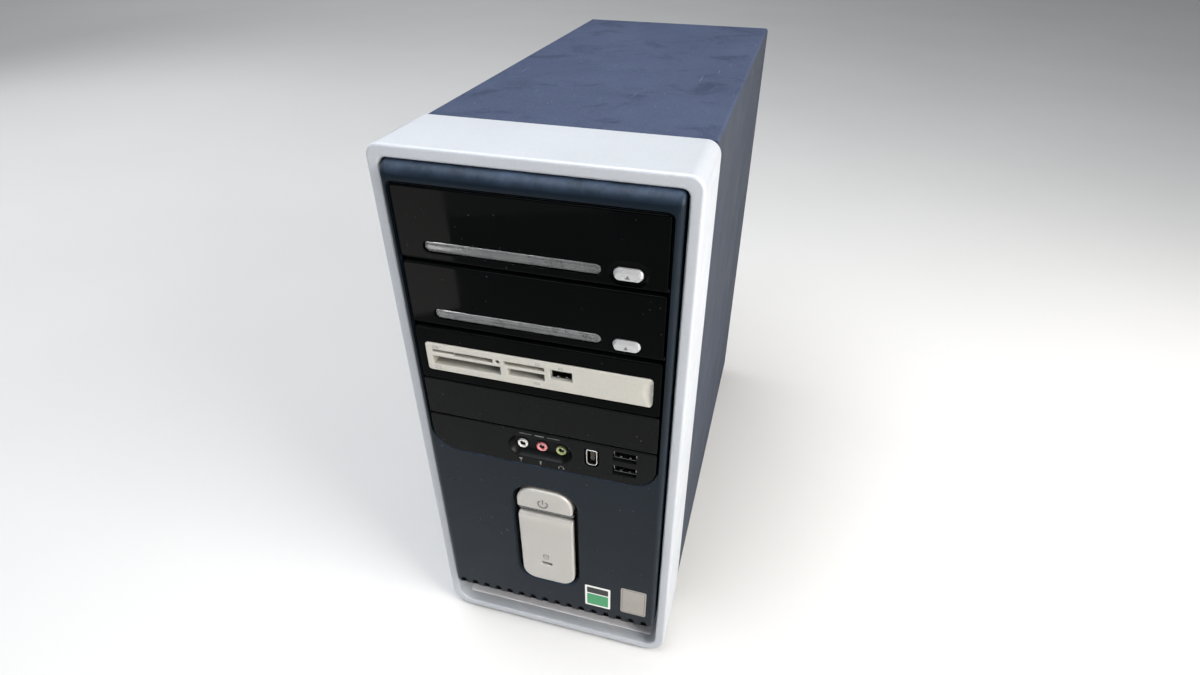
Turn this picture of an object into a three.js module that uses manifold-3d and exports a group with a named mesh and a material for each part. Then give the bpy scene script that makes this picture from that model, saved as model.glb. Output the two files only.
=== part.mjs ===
// Desktop computer tower: a narrow mini tower with a silver front ring around a
// dark blue front panel, two full-face optical drives, a card reader, a blank
// 3.5 inch bay, a front port panel, a power button with a badge plate, and the
// steel chassis with its power supply, mainboard, fans, drives and wiring.
//
// Units are millimetres. +X is the viewer's right when facing the front, the
// front faces -Y and +Z is up. The origin is the centre of the footprint, on
// the surface that the feet stand on.
//
// Depths are given as v, the distance behind the front face of the silver ring;
// the blue panel stands 5 mm proud of the ring, at v = -5.

import * as THREE from 'three';
import { mergeVertices } from 'three/addons/utils/BufferGeometryUtils.js';
import Module from 'manifold-3d';

// ---------------------------------------------------------------- dimensions
const YF = -195;            // y of the ring's front face
const PROUD = -5;           // v of the blue panel's front face
const ZB = 2.5;             // underside of the ring above the floor
const RING_W = 176, RING_H = 383.3, RING_D = 54;
const RING_BAND = 7.2;      // width of the ring's front face
const RING_LIP = 6.3;       // height of the ring's bottom lip
const ZT = ZB + RING_H;     // top of the ring

const CASE_L = -80.3, CASE_R = 86.4;      // outer faces of the steel case
const CASE_T = 385.4, CASE_B = 10;        // top and underside of the steel case
const CASE_BACK = 387.6;                  // v of the rear panel's outer face
const SHEET = 1.2;                        // sheet metal

const PANEL_HW = 79.5;                    // blue panel half width
const PANEL_B = ZB + 35, PANEL_T = ZB + 376;
const FACE_HW = 74.3;                     // half width of every bay fascia
const DRIVE1_Z = [ZB + 323.4, ZB + 364.8];
const DRIVE2_Z = [ZB + 281.2, ZB + 320.6];
const CARD_Z = [ZB + 241.0, ZB + 278.2];
const BLANK_Z = [ZB + 212.5, ZB + 239.8];
const PORTS_Z = [ZB + 182.3, ZB + 211.2];
const PORTS_R = 16;                       // lower corners of the port panel
const TRAY_TRAVEL = 140, PANEL_TRAVEL = 440;

const DRIVE_HW = 73, DRIVE_BACK = 186;    // 5.25 inch drive body
const TRAY_HW = 65, DISC_R = 60.8;

const PSU = { x0: -73.5, x1: 76.5, v0: 246, v1: 386.0, z0: 297, z1: 383.2 };
const BOARD = { x0: 75.6, x1: 77.2, v0: 140, v1: 384, z0: 42, z1: 286 };

const v = (d) => YF + d;                  // depth to y

// ------------------------------------------------------------ solid toolkit
const wasm = await Module();
wasm.setup();

function solid(geometry) {
  const g = geometry.clone();
  for (const name of Object.keys(g.attributes)) if (name !== 'position') g.deleteAttribute(name);
  const m = mergeVertices(g, 1e-4);
  return new wasm.Manifold(new wasm.Mesh({
    numProp: 3,
    vertProperties: new Float32Array(m.attributes.position.array),
    triVerts: new Uint32Array(m.index.array),
  }));
}

function geometryOf(s) {
  const m = s.getMesh();
  const g = new THREE.BufferGeometry();
  g.setAttribute('position', new THREE.BufferAttribute(new Float32Array(m.vertProperties), 3));
  g.setIndex(new THREE.BufferAttribute(new Uint32Array(m.triVerts), 1));
  g.computeVertexNormals();
  return g;
}

const all = (...list) => list.reduce((a, b) => a.add(b));
const cut = (a, ...list) => list.reduce((s, b) => s.subtract(b), a);

// A box given by its limits; y limits are depths v.
function block(x0, x1, d0, d1, z0, z1) {
  const g = new THREE.BoxGeometry(x1 - x0, d1 - d0, z1 - z0);
  g.translate((x0 + x1) / 2, v((d0 + d1) / 2), (z0 + z1) / 2);
  return solid(g);
}

// Rounded rectangle outline; radii bottom-left, bottom-right, top-right, top-left.
function roundedRect(x0, x1, z0, z1, r, seg = 6) {
  const [bl, br, tr, tl] = Array.isArray(r) ? r : [r, r, r, r];
  const p = [];
  const arc = (cx, cz, rad, a0) => {
    if (rad <= 0) { p.push(new THREE.Vector2(cx, cz)); return; }
    for (let i = 0; i <= seg; i++) {
      const a = a0 + (Math.PI / 2) * (i / seg);
      p.push(new THREE.Vector2(cx + rad * Math.cos(a), cz + rad * Math.sin(a)));
    }
  };
  arc(x0 + bl, z0 + bl, bl, Math.PI);
  arc(x1 - br, z0 + br, br, Math.PI * 1.5);
  arc(x1 - tr, z1 - tr, tr, 0);
  arc(x0 + tl, z1 - tl, tl, Math.PI / 2);
  return new THREE.Shape(p);
}

// Extrudes an X-Z outline from depth d0 to depth d1.
function alongY(shape, d0, d1) {
  const g = new THREE.ExtrudeGeometry(shape, { depth: d1 - d0, bevelEnabled: false, curveSegments: 8 });
  g.applyMatrix4(new THREE.Matrix4().makeBasis(
    new THREE.Vector3(1, 0, 0), new THREE.Vector3(0, 0, 1), new THREE.Vector3(0, -1, 0)));
  g.translate(0, v(d1), 0);
  return solid(g);
}

// Extrudes a Y-Z outline (given as depth, z) from x0 to x1.
function alongX(points, x0, x1) {
  const g = new THREE.ExtrudeGeometry(new THREE.Shape(points.map(([d, z]) => new THREE.Vector2(v(d), z))),
    { depth: x1 - x0, bevelEnabled: false });
  g.applyMatrix4(new THREE.Matrix4().makeBasis(
    new THREE.Vector3(0, 1, 0), new THREE.Vector3(0, 0, 1), new THREE.Vector3(1, 0, 0)));
  g.translate(x0, 0, 0);
  return solid(g);
}

// Cylinders along each axis, given by centre and length limits.
function rodY(x, z, r, d0, d1, seg = 16, r2 = r) {
  const g = new THREE.CylinderGeometry(r2, r, d1 - d0, seg);   // r at d0, r2 at d1
  g.translate(x, v((d0 + d1) / 2), z);
  return solid(g);
}
function rodX(d, z, r, x0, x1, seg = 16) {
  const g = new THREE.CylinderGeometry(r, r, x1 - x0, seg);
  g.rotateZ(-Math.PI / 2);
  g.translate((x0 + x1) / 2, v(d), z);
  return solid(g);
}
function rodZ(x, d, r, z0, z1, seg = 16, r2 = r) {
  const g = new THREE.CylinderGeometry(r2, r, z1 - z0, seg);   // r at the bottom, r2 at the top
  g.rotateX(Math.PI / 2);
  g.translate(x, v(d), (z0 + z1) / 2);
  return solid(g);
}

const stadium = (x0, x1, z0, z1, seg = 6) => roundedRect(x0, x1, z0, z1, (z1 - z0) / 2, seg);

// A round cable along a smooth curve through points [x, depth, z].
function cable(points, r, sides = 8, steps = 20) {
  const curve = new THREE.CatmullRomCurve3(points.map(([x, d, z]) => new THREE.Vector3(x, v(d), z)), false, 'catmullrom', 0.5);
  const ring = [];
  for (let i = 0; i < sides; i++) {
    const a = (2 * Math.PI * i) / sides;
    ring.push(new THREE.Vector2(r * Math.cos(a), r * Math.sin(a)));
  }
  return solid(new THREE.ExtrudeGeometry(new THREE.Shape(ring), { steps, extrudePath: curve, bevelEnabled: false }));
}

// A flat ribbon: a chain of stations { p: [x, depth, z], w: width direction }.
function ribbon(stations, width, thick) {
  const pos = [], idx = [];
  const P = stations.map((s) => new THREE.Vector3(s.p[0], v(s.p[1]), s.p[2]));
  stations.forEach((s, i) => {
    const t = new THREE.Vector3().subVectors(P[Math.min(i + 1, P.length - 1)], P[Math.max(i - 1, 0)]).normalize();
    const w = new THREE.Vector3(...s.w);
    w.addScaledVector(t, -w.dot(t)).normalize();
    const n = new THREE.Vector3().crossVectors(t, w);
    for (const [a, b] of [[-1, -1], [1, -1], [1, 1], [-1, 1]]) {
      const q = P[i].clone().addScaledVector(w, (a * width) / 2).addScaledVector(n, (b * thick) / 2);
      pos.push(q.x, q.y, q.z);
    }
  });
  const last = (stations.length - 1) * 4;
  for (let i = 0; i < stations.length - 1; i++) for (let k = 0; k < 4; k++) {
    const a = i * 4 + k, b = i * 4 + ((k + 1) % 4), c = a + 4, d = b + 4;
    idx.push(a, b, d, a, d, c);
  }
  idx.push(0, 3, 2, 0, 2, 1, last, last + 1, last + 2, last, last + 2, last + 3);
  const g = new THREE.BufferGeometry();
  g.setAttribute('position', new THREE.Float32BufferAttribute(pos, 3));
  g.setIndex(idx);
  let s = solid(g);
  if (s.volume() < 0) {
    const flipped = [];
    for (let i = 0; i < idx.length; i += 3) flipped.push(idx[i], idx[i + 2], idx[i + 1]);
    g.setIndex(flipped);
    s = solid(g);
  }
  return s;
}

// ------------------------------------------------------------------ colours
const mat = (color, roughness, metalness = 0, extra = {}) =>
  new THREE.MeshStandardMaterial({ color, roughness, metalness, ...extra });
const M = {
  silver: mat(0xc9c9cd, 0.38, 0.15),
  navy: mat(0x1d2733, 0.42),
  gloss: mat(0x050606, 0.06),
  satin: mat(0x17181a, 0.35),
  champagne: mat(0xc2bdb3, 0.4, 0.3),
  button: mat(0xb9b5ae, 0.35, 0.4),
  lens: mat(0x8f9294, 0.15, 0.0, { transparent: true, opacity: 0.6 }),
  paint: mat(0x2b3242, 0.5, 0.1),
  steel: mat(0xb4b8ba, 0.35, 0.9),
  black: mat(0x101112, 0.6),
  rubber: mat(0x121212, 0.9),
  pcb: mat(0x1b5a2c, 0.5),
  alu: mat(0xc4c7c9, 0.35, 0.9),
  chrome: mat(0xd9dbdc, 0.2, 1.0),
  fan: mat(0x16171a, 0.45),
  red: mat(0xb01818, 0.4),
  beige: mat(0xd8d2c0, 0.5),
  grey: mat(0x8b8d90, 0.6),
};

const tower = new THREE.Group();
function add(group, name, s, material) {
  const mesh = new THREE.Mesh(geometryOf(s), material);
  mesh.name = name;
  group.add(mesh);
  return mesh;
}

// =================================================================== chassis
const chassis = new THREE.Group();
tower.add(chassis);
const IX0 = -78.6, IX1 = 84.9;            // inner steelwork, between the covers

add(chassis, 'chassis_floor', cut(
  all(block(-75.2, IX1, 56, CASE_BACK, CASE_B, CASE_B + SHEET),
    block(-75.2, -75.2 + SHEET, 58, 385, CASE_B, 20),
    block(-60, 76, 200, 206, CASE_B, 12.2)),
  block(-40, 40, 70, 110, CASE_B - 1, CASE_B + 1.1 + SHEET)), M.steel);

// Front plate with the bay opening, the port window, the switch hole and the intake slots.
{
  let s = block(IX0, IX1, 56, 57.2, CASE_B + 1.5, 383.9);
  s = cut(s,
    block(-74.6, 74.6, 50, 60, ZB + 212, ZB + 366.5),
    block(-34, 68, 50, 60, 186, 210.5),
    block(-22, 22, 50, 60, 120, 160));
  for (let i = 0; i < 5; i++) s = cut(s, block(-58, 58, 50, 60, 30 + i * 16, 39 + i * 16));
  for (const z of [119, 261]) s = cut(s, block(-80, -76.3, 50, 60, z, z + 12), block(76.3, 78.6, 50, 60, z, z + 12));
  s = cut(s, block(-80, -75.2, 50, 60, 0, 12.6), block(-80, -75.2, 50, 60, 382.3, 390));   // side panel folds
  add(chassis, 'chassis_front_plate', s, M.steel);
}

// Rear panel: power supply window, port window, four slot positions, fan vent, screw holes.
{
  let s = block(IX0, IX1, CASE_BACK - SHEET, CASE_BACK, CASE_B + 1.5, 383.9);
  s = cut(s,
    block(-70, 73, 380, 390, 301, 379),
    block(36, 80, 380, 390, 127, 284),
    block(-8, 70, 380, 390, 112, 124),
    block(-80, -75.2, 380, 390, 0, 12.6), block(-80, -75.2, 380, 390, 382.3, 390),   // side panel folds
    rodY(-73.6, 75, 2.4, 380, 390, 10), rodY(-73.6, 278, 2.4, 380, 390, 10));
  const vent = cut(rodY(-22, 215, 41, 380, 390, 32),
    block(-70, 30, 380, 390, 213.5, 216.5), block(-23.5, -20.5, 380, 390, 160, 270),
    cut(rodY(-22, 215, 28, 380, 390, 24), rodY(-22, 215, 25, 380, 390, 24)), rodY(-22, 215, 12, 380, 390, 16));
  s = cut(s, vent);
  for (let i = 0; i < 3; i++) s = all(s, block(-6, 68, CASE_BACK - 0.2, CASE_BACK + 0.6, 54 + i * 20, 64 + i * 20));
  add(chassis, 'chassis_rear_panel', s, M.steel);
}

// Mainboard tray with its stand-offs, behind the right cover.
{
  let s = block(83.4, 84.6, 57.5, 386.1, CASE_B + 1.5, 383.9);
  for (const d of [150, 262, 376]) for (const z of [52, 276]) s = all(s, rodX(d, z, 3, 77.5, 83.6, 8));
  s = cut(s, block(80, 90, 80, 130, 60, 200));
  add(chassis, 'mainboard_tray', s, M.steel);
}

// Outer cover: top and right side in one bent sheet, with a return along the bottom.
add(chassis, 'outer_cover', alongY(new THREE.Shape([
  [CASE_L, CASE_T - SHEET], [CASE_R - SHEET, CASE_T - SHEET], [CASE_R - SHEET, CASE_B], [CASE_R, CASE_B], [CASE_R, CASE_T], [CASE_L, CASE_T],
].map(([x, z]) => new THREE.Vector2(x, z))), RING_D + 0.4, CASE_BACK), M.paint);

// Removable left side panel with folded edges and a rear flange for its two screws.
{
  const x1 = CASE_L + SHEET;
  let s = all(
    block(CASE_L, x1, RING_D + 0.6, 389.2, CASE_B + 1, 383.9),
    block(CASE_L, -75.6, 58, 388, 382.7, 383.9),
    block(CASE_L, -75.6, 58, 388, CASE_B + 1, CASE_B + 2.2),
    block(CASE_L, -66, 388.0, 389.2, 40, 296));
  s = cut(s, rodY(-73.6, 75, 2.4, 380, 390, 10), rodY(-73.6, 278, 2.4, 380, 390, 10));
  for (let i = 0; i < 6; i++) s = cut(s, alongX([[270, 176 + i * 14], [330, 176 + i * 14], [330, 182 + i * 14], [270, 182 + i * 14]], -82, -78));
  add(chassis, 'side_panel', s, M.paint);
}
for (const [name, z] of [['side_thumbscrew_lower', 75], ['side_thumbscrew_upper', 278]]) {
  let s = all(rodY(-73.6, z, 1.9, 380.5, 390, 10), rodY(-73.6, z, 6.4, 389.5, 395, 18));
  s = cut(s, block(-78, -69, 393.6, 396, z - 0.6, z + 0.6));
  add(chassis, name, s, M.chrome);
}

// Rubber feet.
for (const [name, x, d] of [['foot_front_left', -56, 84], ['foot_front_right', 68, 84], ['foot_rear_left', -56, 364], ['foot_rear_right', 68, 364]])
  add(chassis, name, rodZ(x, d, 9, 0, CASE_B - 0.05, 16, 11), M.rubber);

// Bay cage: a steel tube around the drives with a shelf under it, and a hanger for the hard drive.
{
  const outer = roundedRect(-76, 76, ZB + 210.6, 371.2, 0), inner = roundedRect(-74.6, 74.6, ZB + 211.8, 370, 0);
  let s = cut(alongY(outer, 57.5, 138), alongY(inner, 50, 150));
  for (const z of [300, 342]) s = cut(s, block(-80, 80, 80, 118, z - 9, z + 9));
  s = all(s, cut(block(-74.4, 32, 57.5, 142, 147, ZB + 211), block(-73.2, 30.8, 50, 150, 148.2, ZB + 210.6),
    block(-80, 40, 80, 120, 165, 200)));
  add(chassis, 'drive_cage', s, M.steel);
}

// =============================================================== front bezel
const bezel = new THREE.Group();
tower.add(bezel);
const HW = RING_W / 2;

// Silver ring: a deep rounded frame, wider inside behind its front band.
{
  const outer = roundedRect(-HW, HW, ZB, ZT, [15, 15, 8, 8], 8);
  const mouth = roundedRect(-HW + RING_BAND, HW - RING_BAND, ZB + RING_LIP, ZT - RING_BAND, [10, 10, 4, 4], 6);
  const inside = roundedRect(-HW + 3, HW - 3, ZB + 3, ZT - 2.6, [12, 12, 6, 6], 6);
  const rear = roundedRect(-78.9, 84.6, ZB + 12, ZT - 5, 2, 2);
  let s = cut(alongY(outer, 0, RING_D), alongY(mouth, -2, 10), alongY(inside, 8, RING_D - 2.2), alongY(rear, 40, RING_D + 2));
  add(bezel, 'bezel_frame', s, M.silver);
}

// Black carrier plate behind the ring, with four hooks that snap into the front plate.
{
  let s = alongY(roundedRect(-HW + 3.3, HW - 3.3, ZB + 40, ZT - 2.9, [2, 2, 5.5, 5.5], 4), 20, 23);
  s = cut(s, block(-74.8, 74.8, 15, 30, ZB + 181, ZB + 367), block(-25, 25, 15, 30, 64, 166));
  for (const z of [120, 262]) s = all(s, block(-78.2, -76.7, 22, 61, z, z + 10), block(76.7, 78.2, 22, 61, z, z + 10));
  s = all(s, block(-42, -27, 22, 61, 65, 67.4), block(27, 42, 22, 61, 65, 67.4));
  add(bezel, 'bezel_carrier', s, M.black);
}

// Blue front panel: crowned shell with the bay opening, the button opening and a toothed lower edge.
{
  const section = (inset, top) => roundedRect(-PANEL_HW + inset, PANEL_HW - inset, PANEL_B + inset, PANEL_T - top, 3, 3);
  // stepped crown: the edges fall back over the last few millimetres
  let s = all(
    alongY(section(4, 8), PROUD, PROUD + 0.8),
    alongY(section(2, 5), PROUD + 0.7, PROUD + 1.8),
    alongY(section(0.8, 2.4), PROUD + 1.7, PROUD + 3.4),
    alongY(section(0, 0), PROUD + 3.3, 19.8));
  s = cut(s, alongY(roundedRect(-PANEL_HW + 3, PANEL_HW - 3, PANEL_B + 3, PANEL_T - 3, 2, 2), PROUD + 3.6, 25));
  s = cut(s, alongY(roundedRect(-FACE_HW - 0.6, FACE_HW + 0.6, PORTS_Z[0] - 0.5, DRIVE1_Z[1] + 0.5, [PORTS_R + 0.5, PORTS_R + 0.5, 3, 3], 8), -8, 5));
  s = cut(s, alongY(roundedRect(-22.8, 22.4, 67.1, 163.4, [14, 14, 15, 15], 6), -8, 5));
  for (let i = 0; i < 16; i++) {
    const x = -72.2 + i * 9.62;
    s = cut(s, alongY(roundedRect(x - 2.8, x + 2.8, PANEL_B - 4, PANEL_B + 6, [0, 0, 2.4, 2.4], 2), -8, 10));
  }
  add(bezel, 'front_panel', s, M.navy);
}

// Intake tray: the light floor of the scoop under the blue panel, with its slotted rear wall.
{
  let s = all(block(-80, 80, 8.4, 50, 9.1, 10.9), block(-80, 80, 48.2, 50, 9.1, 38));
  for (let i = 0; i < 7; i++) s = cut(s, block(-70 + i * 20.5, -70 + i * 20.5 + 14, 44, 54, 16, 32));
  add(bezel, 'intake_tray', s, M.silver);
}

// Card reader bay: gloss surround, silver fascia with its slots, and the reader behind.
{
  const [z0, z1] = CARD_Z;
  add(bezel, 'card_bay_surround', cut(alongY(roundedRect(-FACE_HW, FACE_HW, z0, z1, 1.2, 2), PROUD, 1),
    alongY(roundedRect(-69.7, 69.7, ZB + 247.1, ZB + 267.7, 2, 3), -8, 4)), M.gloss);
  const slot = (x0, x1, za, zb, d0, d1) => block(x0, x1, d0, d1, ZB + za, ZB + zb);
  const XD = [-65.3, -26.5, 260.2, 262.8], CF = [-65.3, -21.9, 252.2, 258.2], SD = [-19.7, 5.5, 260.2, 262.8],
    MS = [-17.3, 5.5, 253.2, 258.4], US = [9.2, 22.4, 256.0, 262.2];
  let s = alongY(roundedRect(-69.4, 69.4, ZB + 247.4, ZB + 267.4, 1.8, 3), -4.6, 1);
  for (const q of [XD, CF, SD, MS, US]) s = cut(s, slot(...q, -8, 4));
  s = cut(s, rodY(-23.4, ZB + 261.4, 1.1, -8, 4, 8));
  add(bezel, 'card_reader_fascia', s, M.champagne);
  let b = block(-69, 32.6, 1.2, 95, ZB + 245.2, ZB + 270.6);
  for (const q of [XD, CF, SD, MS]) b = cut(b, slot(...q, 0, 26));
  b = cut(b, slot(...US, 0, 12));
  add(bezel, 'card_reader', b, M.black);
}

add(bezel, 'blank_bay_cover', cut(alongY(roundedRect(-FACE_HW, FACE_HW, ...BLANK_Z, 0.8, 2), PROUD, 1),
  block(-70, 70, -2.6, 4, BLANK_Z[0] + 4, BLANK_Z[1] - 4)), M.satin);

// Port panel with its audio recess, and the port board behind it.
{
  const [z0, z1] = PORTS_Z;
  let s = alongY(roundedRect(-FACE_HW, FACE_HW, z0, z1, [PORTS_R, PORTS_R, 0.8, 0.8], 8), PROUD, 1);
  s = cut(s, alongY(roundedRect(-21.4, 20.6, ZB + 189.2, ZB + 206.2, 8.2, 5), -8, -0.6));
  for (const x of [-13.6, -0.6, 12.4]) s = cut(s, rodY(x, ZB + 196.4, 3.9, -4, 4, 16));
  s = cut(s, block(28.9, 38.1, -8, 4, ZB + 191.8, ZB + 206), block(46.9, 61.9, -8, 4, ZB + 200.9, ZB + 208.2), block(46.9, 61.9, -8, 4, ZB + 189.2, ZB + 196.5));
  add(bezel, 'port_panel', s, M.satin);

  let j = block(-20.5, 19.5, 1.3, 13.9, ZB + 190.4, ZB + 202.4);
  for (const x of [-13.6, -0.6, 12.4]) j = cut(all(j, rodY(x, ZB + 196.4, 3.5, -1.4, 2, 16)), rodY(x, ZB + 196.4, 1.8, -4, 12, 12));
  add(bezel, 'audio_jack_block', j, M.black);

  const shell = (x0, x1, za, zb) => cut(block(x0, x1, -3.6, 14.4, ZB + za, ZB + zb), block(x0 + 0.4, x1 - 0.4, -6, 8, ZB + za + 0.4, ZB + zb - 0.4));
  add(bezel, 'port_board', all(block(-26, 66, 14.2, 15.8, ZB + 186, ZB + 210),
    shell(47.8, 61.0, 201.4, 207.6), shell(47.8, 61.0, 189.8, 196.0), shell(30.2, 36.8, 192.8, 205.0)), M.steel);
}

// Power button, its housing with the round hinge bar, the badge plate and the drive light.
{
  let h = cut(alongY(roundedRect(-27, 27, 62.6, 168, 6, 3), -1.2, 12), alongY(roundedRect(-22.8, 22.4, 67.1, 163.4, [14, 14, 15, 15], 6), -4, 9));
  h = all(h, rodX(-0.4, 140.5, 2.9, -22.4, 22.0, 12), block(-21, 21, 1.2, 9.6, 139.6, 141.4));
  add(bezel, 'button_housing', h, M.black);
  add(bezel, 'power_button', all(alongY(roundedRect(-20, 19.6, 144.2, 162.2, [1, 1, 12.5, 12.5], 6), PROUD, 1.4),
    rodY(-0.2, 152, 3, 1.3, 6.5, 10)), M.button);
  add(bezel, 'badge_plate', cut(all(alongY(roundedRect(-20, 19.6, 68.2, 136.8, [10.5, 10.5, 1.2, 1.2], 6), PROUD, -1),
    block(-14, 14, -1.2, 8.9, 76, 82), block(-14, 14, -1.2, 8.9, 112, 124)),
    alongY(stadium(-5.6, 3.4, 86.4, 89.2, 3), -8, 4)), M.button);
  add(bezel, 'activity_light', alongY(stadium(-5.3, 3.1, 86.7, 88.9, 3), -4.2, 6), M.lens);
}

// ============================================================ optical drives
function opticalDrive(tag, [z0, z1], stripZ, ejectZ) {
  const g = new THREE.Group();
  tower.add(g);
  const top = z1, bottom = z0 + (z1 - z0 - 39.2) * 0.5, h = 39.2;   // steel body behind the fascia
  // body: a steel box open at the front, with the connector block at the back
  let s = cut(block(-DRIVE_HW, DRIVE_HW, 8, DRIVE_BACK, bottom, bottom + h),
    block(-DRIVE_HW + SHEET, DRIVE_HW - SHEET, 0, 168, bottom + SHEET, bottom + h - SHEET));
  s = cut(s, block(-60, -12, 180, 190, bottom + 6, bottom + 15), block(30, 54, 180, 190, bottom + 6, bottom + 14));
  add(g, `optical_drive_${tag}`, s, M.steel);
  // tray: a plate with a round disc recess, an inner spindle hole and side rails
  const tz = bottom + 15;
  let t = block(-TRAY_HW, TRAY_HW, 1.3, 150, tz, tz + 9);
  t = cut(t, rodZ(0, 78, DISC_R, tz + 4, tz + 12, 40), block(-14, 14, 60, 140, tz - 2, tz + 6));
  t = all(t, block(-TRAY_HW - 5, -TRAY_HW + 0.5, 30, 150, tz + 1, tz + 4), block(TRAY_HW - 0.5, TRAY_HW + 5, 30, 150, tz + 1, tz + 4));
  add(g, `disc_tray_${tag}`, t, M.black);
  // fascia: full-face front with a long pocket for the lens and a hole for the eject button
  let f = alongY(roundedRect(-FACE_HW, FACE_HW, z0, z1, 1.6, 3), PROUD, 1);
  f = cut(f, alongY(stadium(-59.4, 39.6, stripZ - 3.2, stripZ + 3.2, 5), -8, -2), alongY(stadium(45.4, 62.0, ejectZ - 3.9, ejectZ + 3.9, 5), -8, 4));
  add(g, `tray_fascia_${tag}`, f, M.gloss);
  add(g, `fascia_lens_${tag}`, alongY(stadium(-59.1, 39.3, stripZ - 2.9, stripZ + 2.9, 5), -4.9, -2.2), M.lens);
  add(g, `eject_button_${tag}`, alongY(stadium(45.8, 61.6, ejectZ - 3.5, ejectZ + 3.5, 5), PROUD, -0.8), M.button);
  return g;
}
opticalDrive('upper', DRIVE1_Z, ZB + 330.9, ZB + 330.4);
opticalDrive('lower', DRIVE2_Z, ZB + 288.5, ZB + 287.2);

// ================================================================ electronics
const inside = new THREE.Group();
tower.add(inside);

add(inside, 'hard_drive', cut(block(-71.6, 29.2, 62, 209, 150, 176), block(-50, -6, 205, 212, 153, 162), block(4, 24, 205, 212, 153, 161)), M.alu);

// Fans are modelled about their own axis, +Z, and placed by their group.
function fanRotor(hub, tip, depth, blades) {
  const g = new THREE.CylinderGeometry(hub, hub, depth, 18);
  g.rotateX(Math.PI / 2);
  let s = solid(g);
  for (let i = 0; i < blades; i++) {
    const b = new THREE.BoxGeometry(tip - hub + 2, 1.6, depth * 0.98);
    b.rotateX(0.62);
    b.translate((tip + hub) / 2 - 1, 0, 0);
    b.scale(1, 1, 0.92);
    b.rotateZ((2 * Math.PI * i) / blades);
    s = all(s, solid(b));
  }
  // trim the tips to a true circle
  const trim = new THREE.CylinderGeometry(tip, tip, depth * 0.9, 36);
  trim.rotateX(Math.PI / 2);
  const t = solid(trim);
  return s.intersect(t);
}
function fanFrame(size, bore, depth, hub, strutAt) {
  const g = new THREE.BoxGeometry(size, size, depth);
  let s = solid(g);
  const b = new THREE.CylinderGeometry(bore, bore, depth + 4, 36);
  b.rotateX(Math.PI / 2);
  s = cut(s, solid(b));
  const z = strutAt;
  const c = new THREE.CylinderGeometry(hub, hub, 2.4, 16);
  c.rotateX(Math.PI / 2);
  c.translate(0, 0, z);
  s = all(s, solid(c));
  for (let i = 0; i < 4; i++) {
    const a = new THREE.BoxGeometry(bore + 1.5 - hub / 2, 3, 2.4);
    a.translate((bore + 1.5 + hub / 2) / 2, 0, z);
    a.rotateZ((Math.PI / 2) * i + Math.PI / 4);
    s = all(s, solid(a));
  }
  for (const x of [-1, 1]) for (const y of [-1, 1]) {
    const h = new THREE.CylinderGeometry(2.2, 2.2, depth + 4, 8);
    h.rotateX(Math.PI / 2);
    h.translate(x * (size / 2 - 5), y * (size / 2 - 5), 0);
    s = cut(s, solid(h));
  }
  return s;
}

// Power supply: vented steel box, fan, mains inlet and voltage selector.
{
  const { x0, x1, v0, v1, z0, z1 } = PSU;
  let s = cut(block(x0, x1, v0, v1, z0, z1), block(x0 + SHEET, x1 - SHEET, v0 + SHEET, v1 - SHEET, z0 + SHEET, z1 - SHEET));
  s = cut(s, rodY(-28, 340, 37.5, v1 - 4, v1 + 2, 32), block(33, 61, v1 - 4, v1 + 2, 345, 367), block(40, 54, v1 - 4, v1 + 2, 313, 323));
  for (let i = 0; i < 5; i++) s = cut(s, block(-50, 50, v0 - 2, v0 + 3, 310 + i * 13, 315 + i * 13));
  s = cut(s, rodZ(58, 260, 9, z0 - 2, z0 + 3, 16));
  // fan carrier: four struts and a motor pad across the fan opening, just inside the rear wall
  s = all(s, block(-66, 10, v1 - 3.4, v1 - 1.1, 338.6, 341.4), block(-29.4, -26.6, v1 - 3.4, v1 - 1.1, 302, 378), rodY(-28, 340, 15, v1 - 3.4, v1 - 1.1, 16));
  add(inside, 'power_supply', s, M.grey);
  add(inside, 'mains_inlet', cut(all(block(30, 64, v1 + 0.3, v1 + 2, 342, 370), block(33.3, 60.7, v1 - 16, v1 + 0.5, 345.3, 366.7)),
    block(35, 59, v1 - 13.5, v1 + 4, 348, 364.4)), M.black);
  add(inside, 'voltage_selector', all(block(40.4, 49.6, v1 - 6, v1 - 1.6, 313.6, 322.4), block(42.6, 46, v1 - 2, v1 + 0.8, 315, 321)), M.red);
  const g = new THREE.Group();
  g.position.set(-28, v(v1 - 17), 340);
  g.rotation.x = Math.PI / 2;
  inside.add(g);
  add(g, 'power_supply_fan', fanRotor(15, 35.5, 24, 7), M.fan);
}

// Rear case fan.
{
  const g = new THREE.Group();
  g.position.set(-22, v(373.4), 215);
  g.rotation.x = -Math.PI / 2;            // local +Z points to the rear, +Y
  inside.add(g);
  add(g, 'rear_fan_frame', fanFrame(92, 44, 25, 18, 11.2), M.fan);
  const r = new THREE.Group();
  r.position.set(0, 0, -2.6);
  g.add(r);
  add(r, 'rear_fan_rotor', fanRotor(17, 42, 21, 7), M.fan);
}

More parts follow.
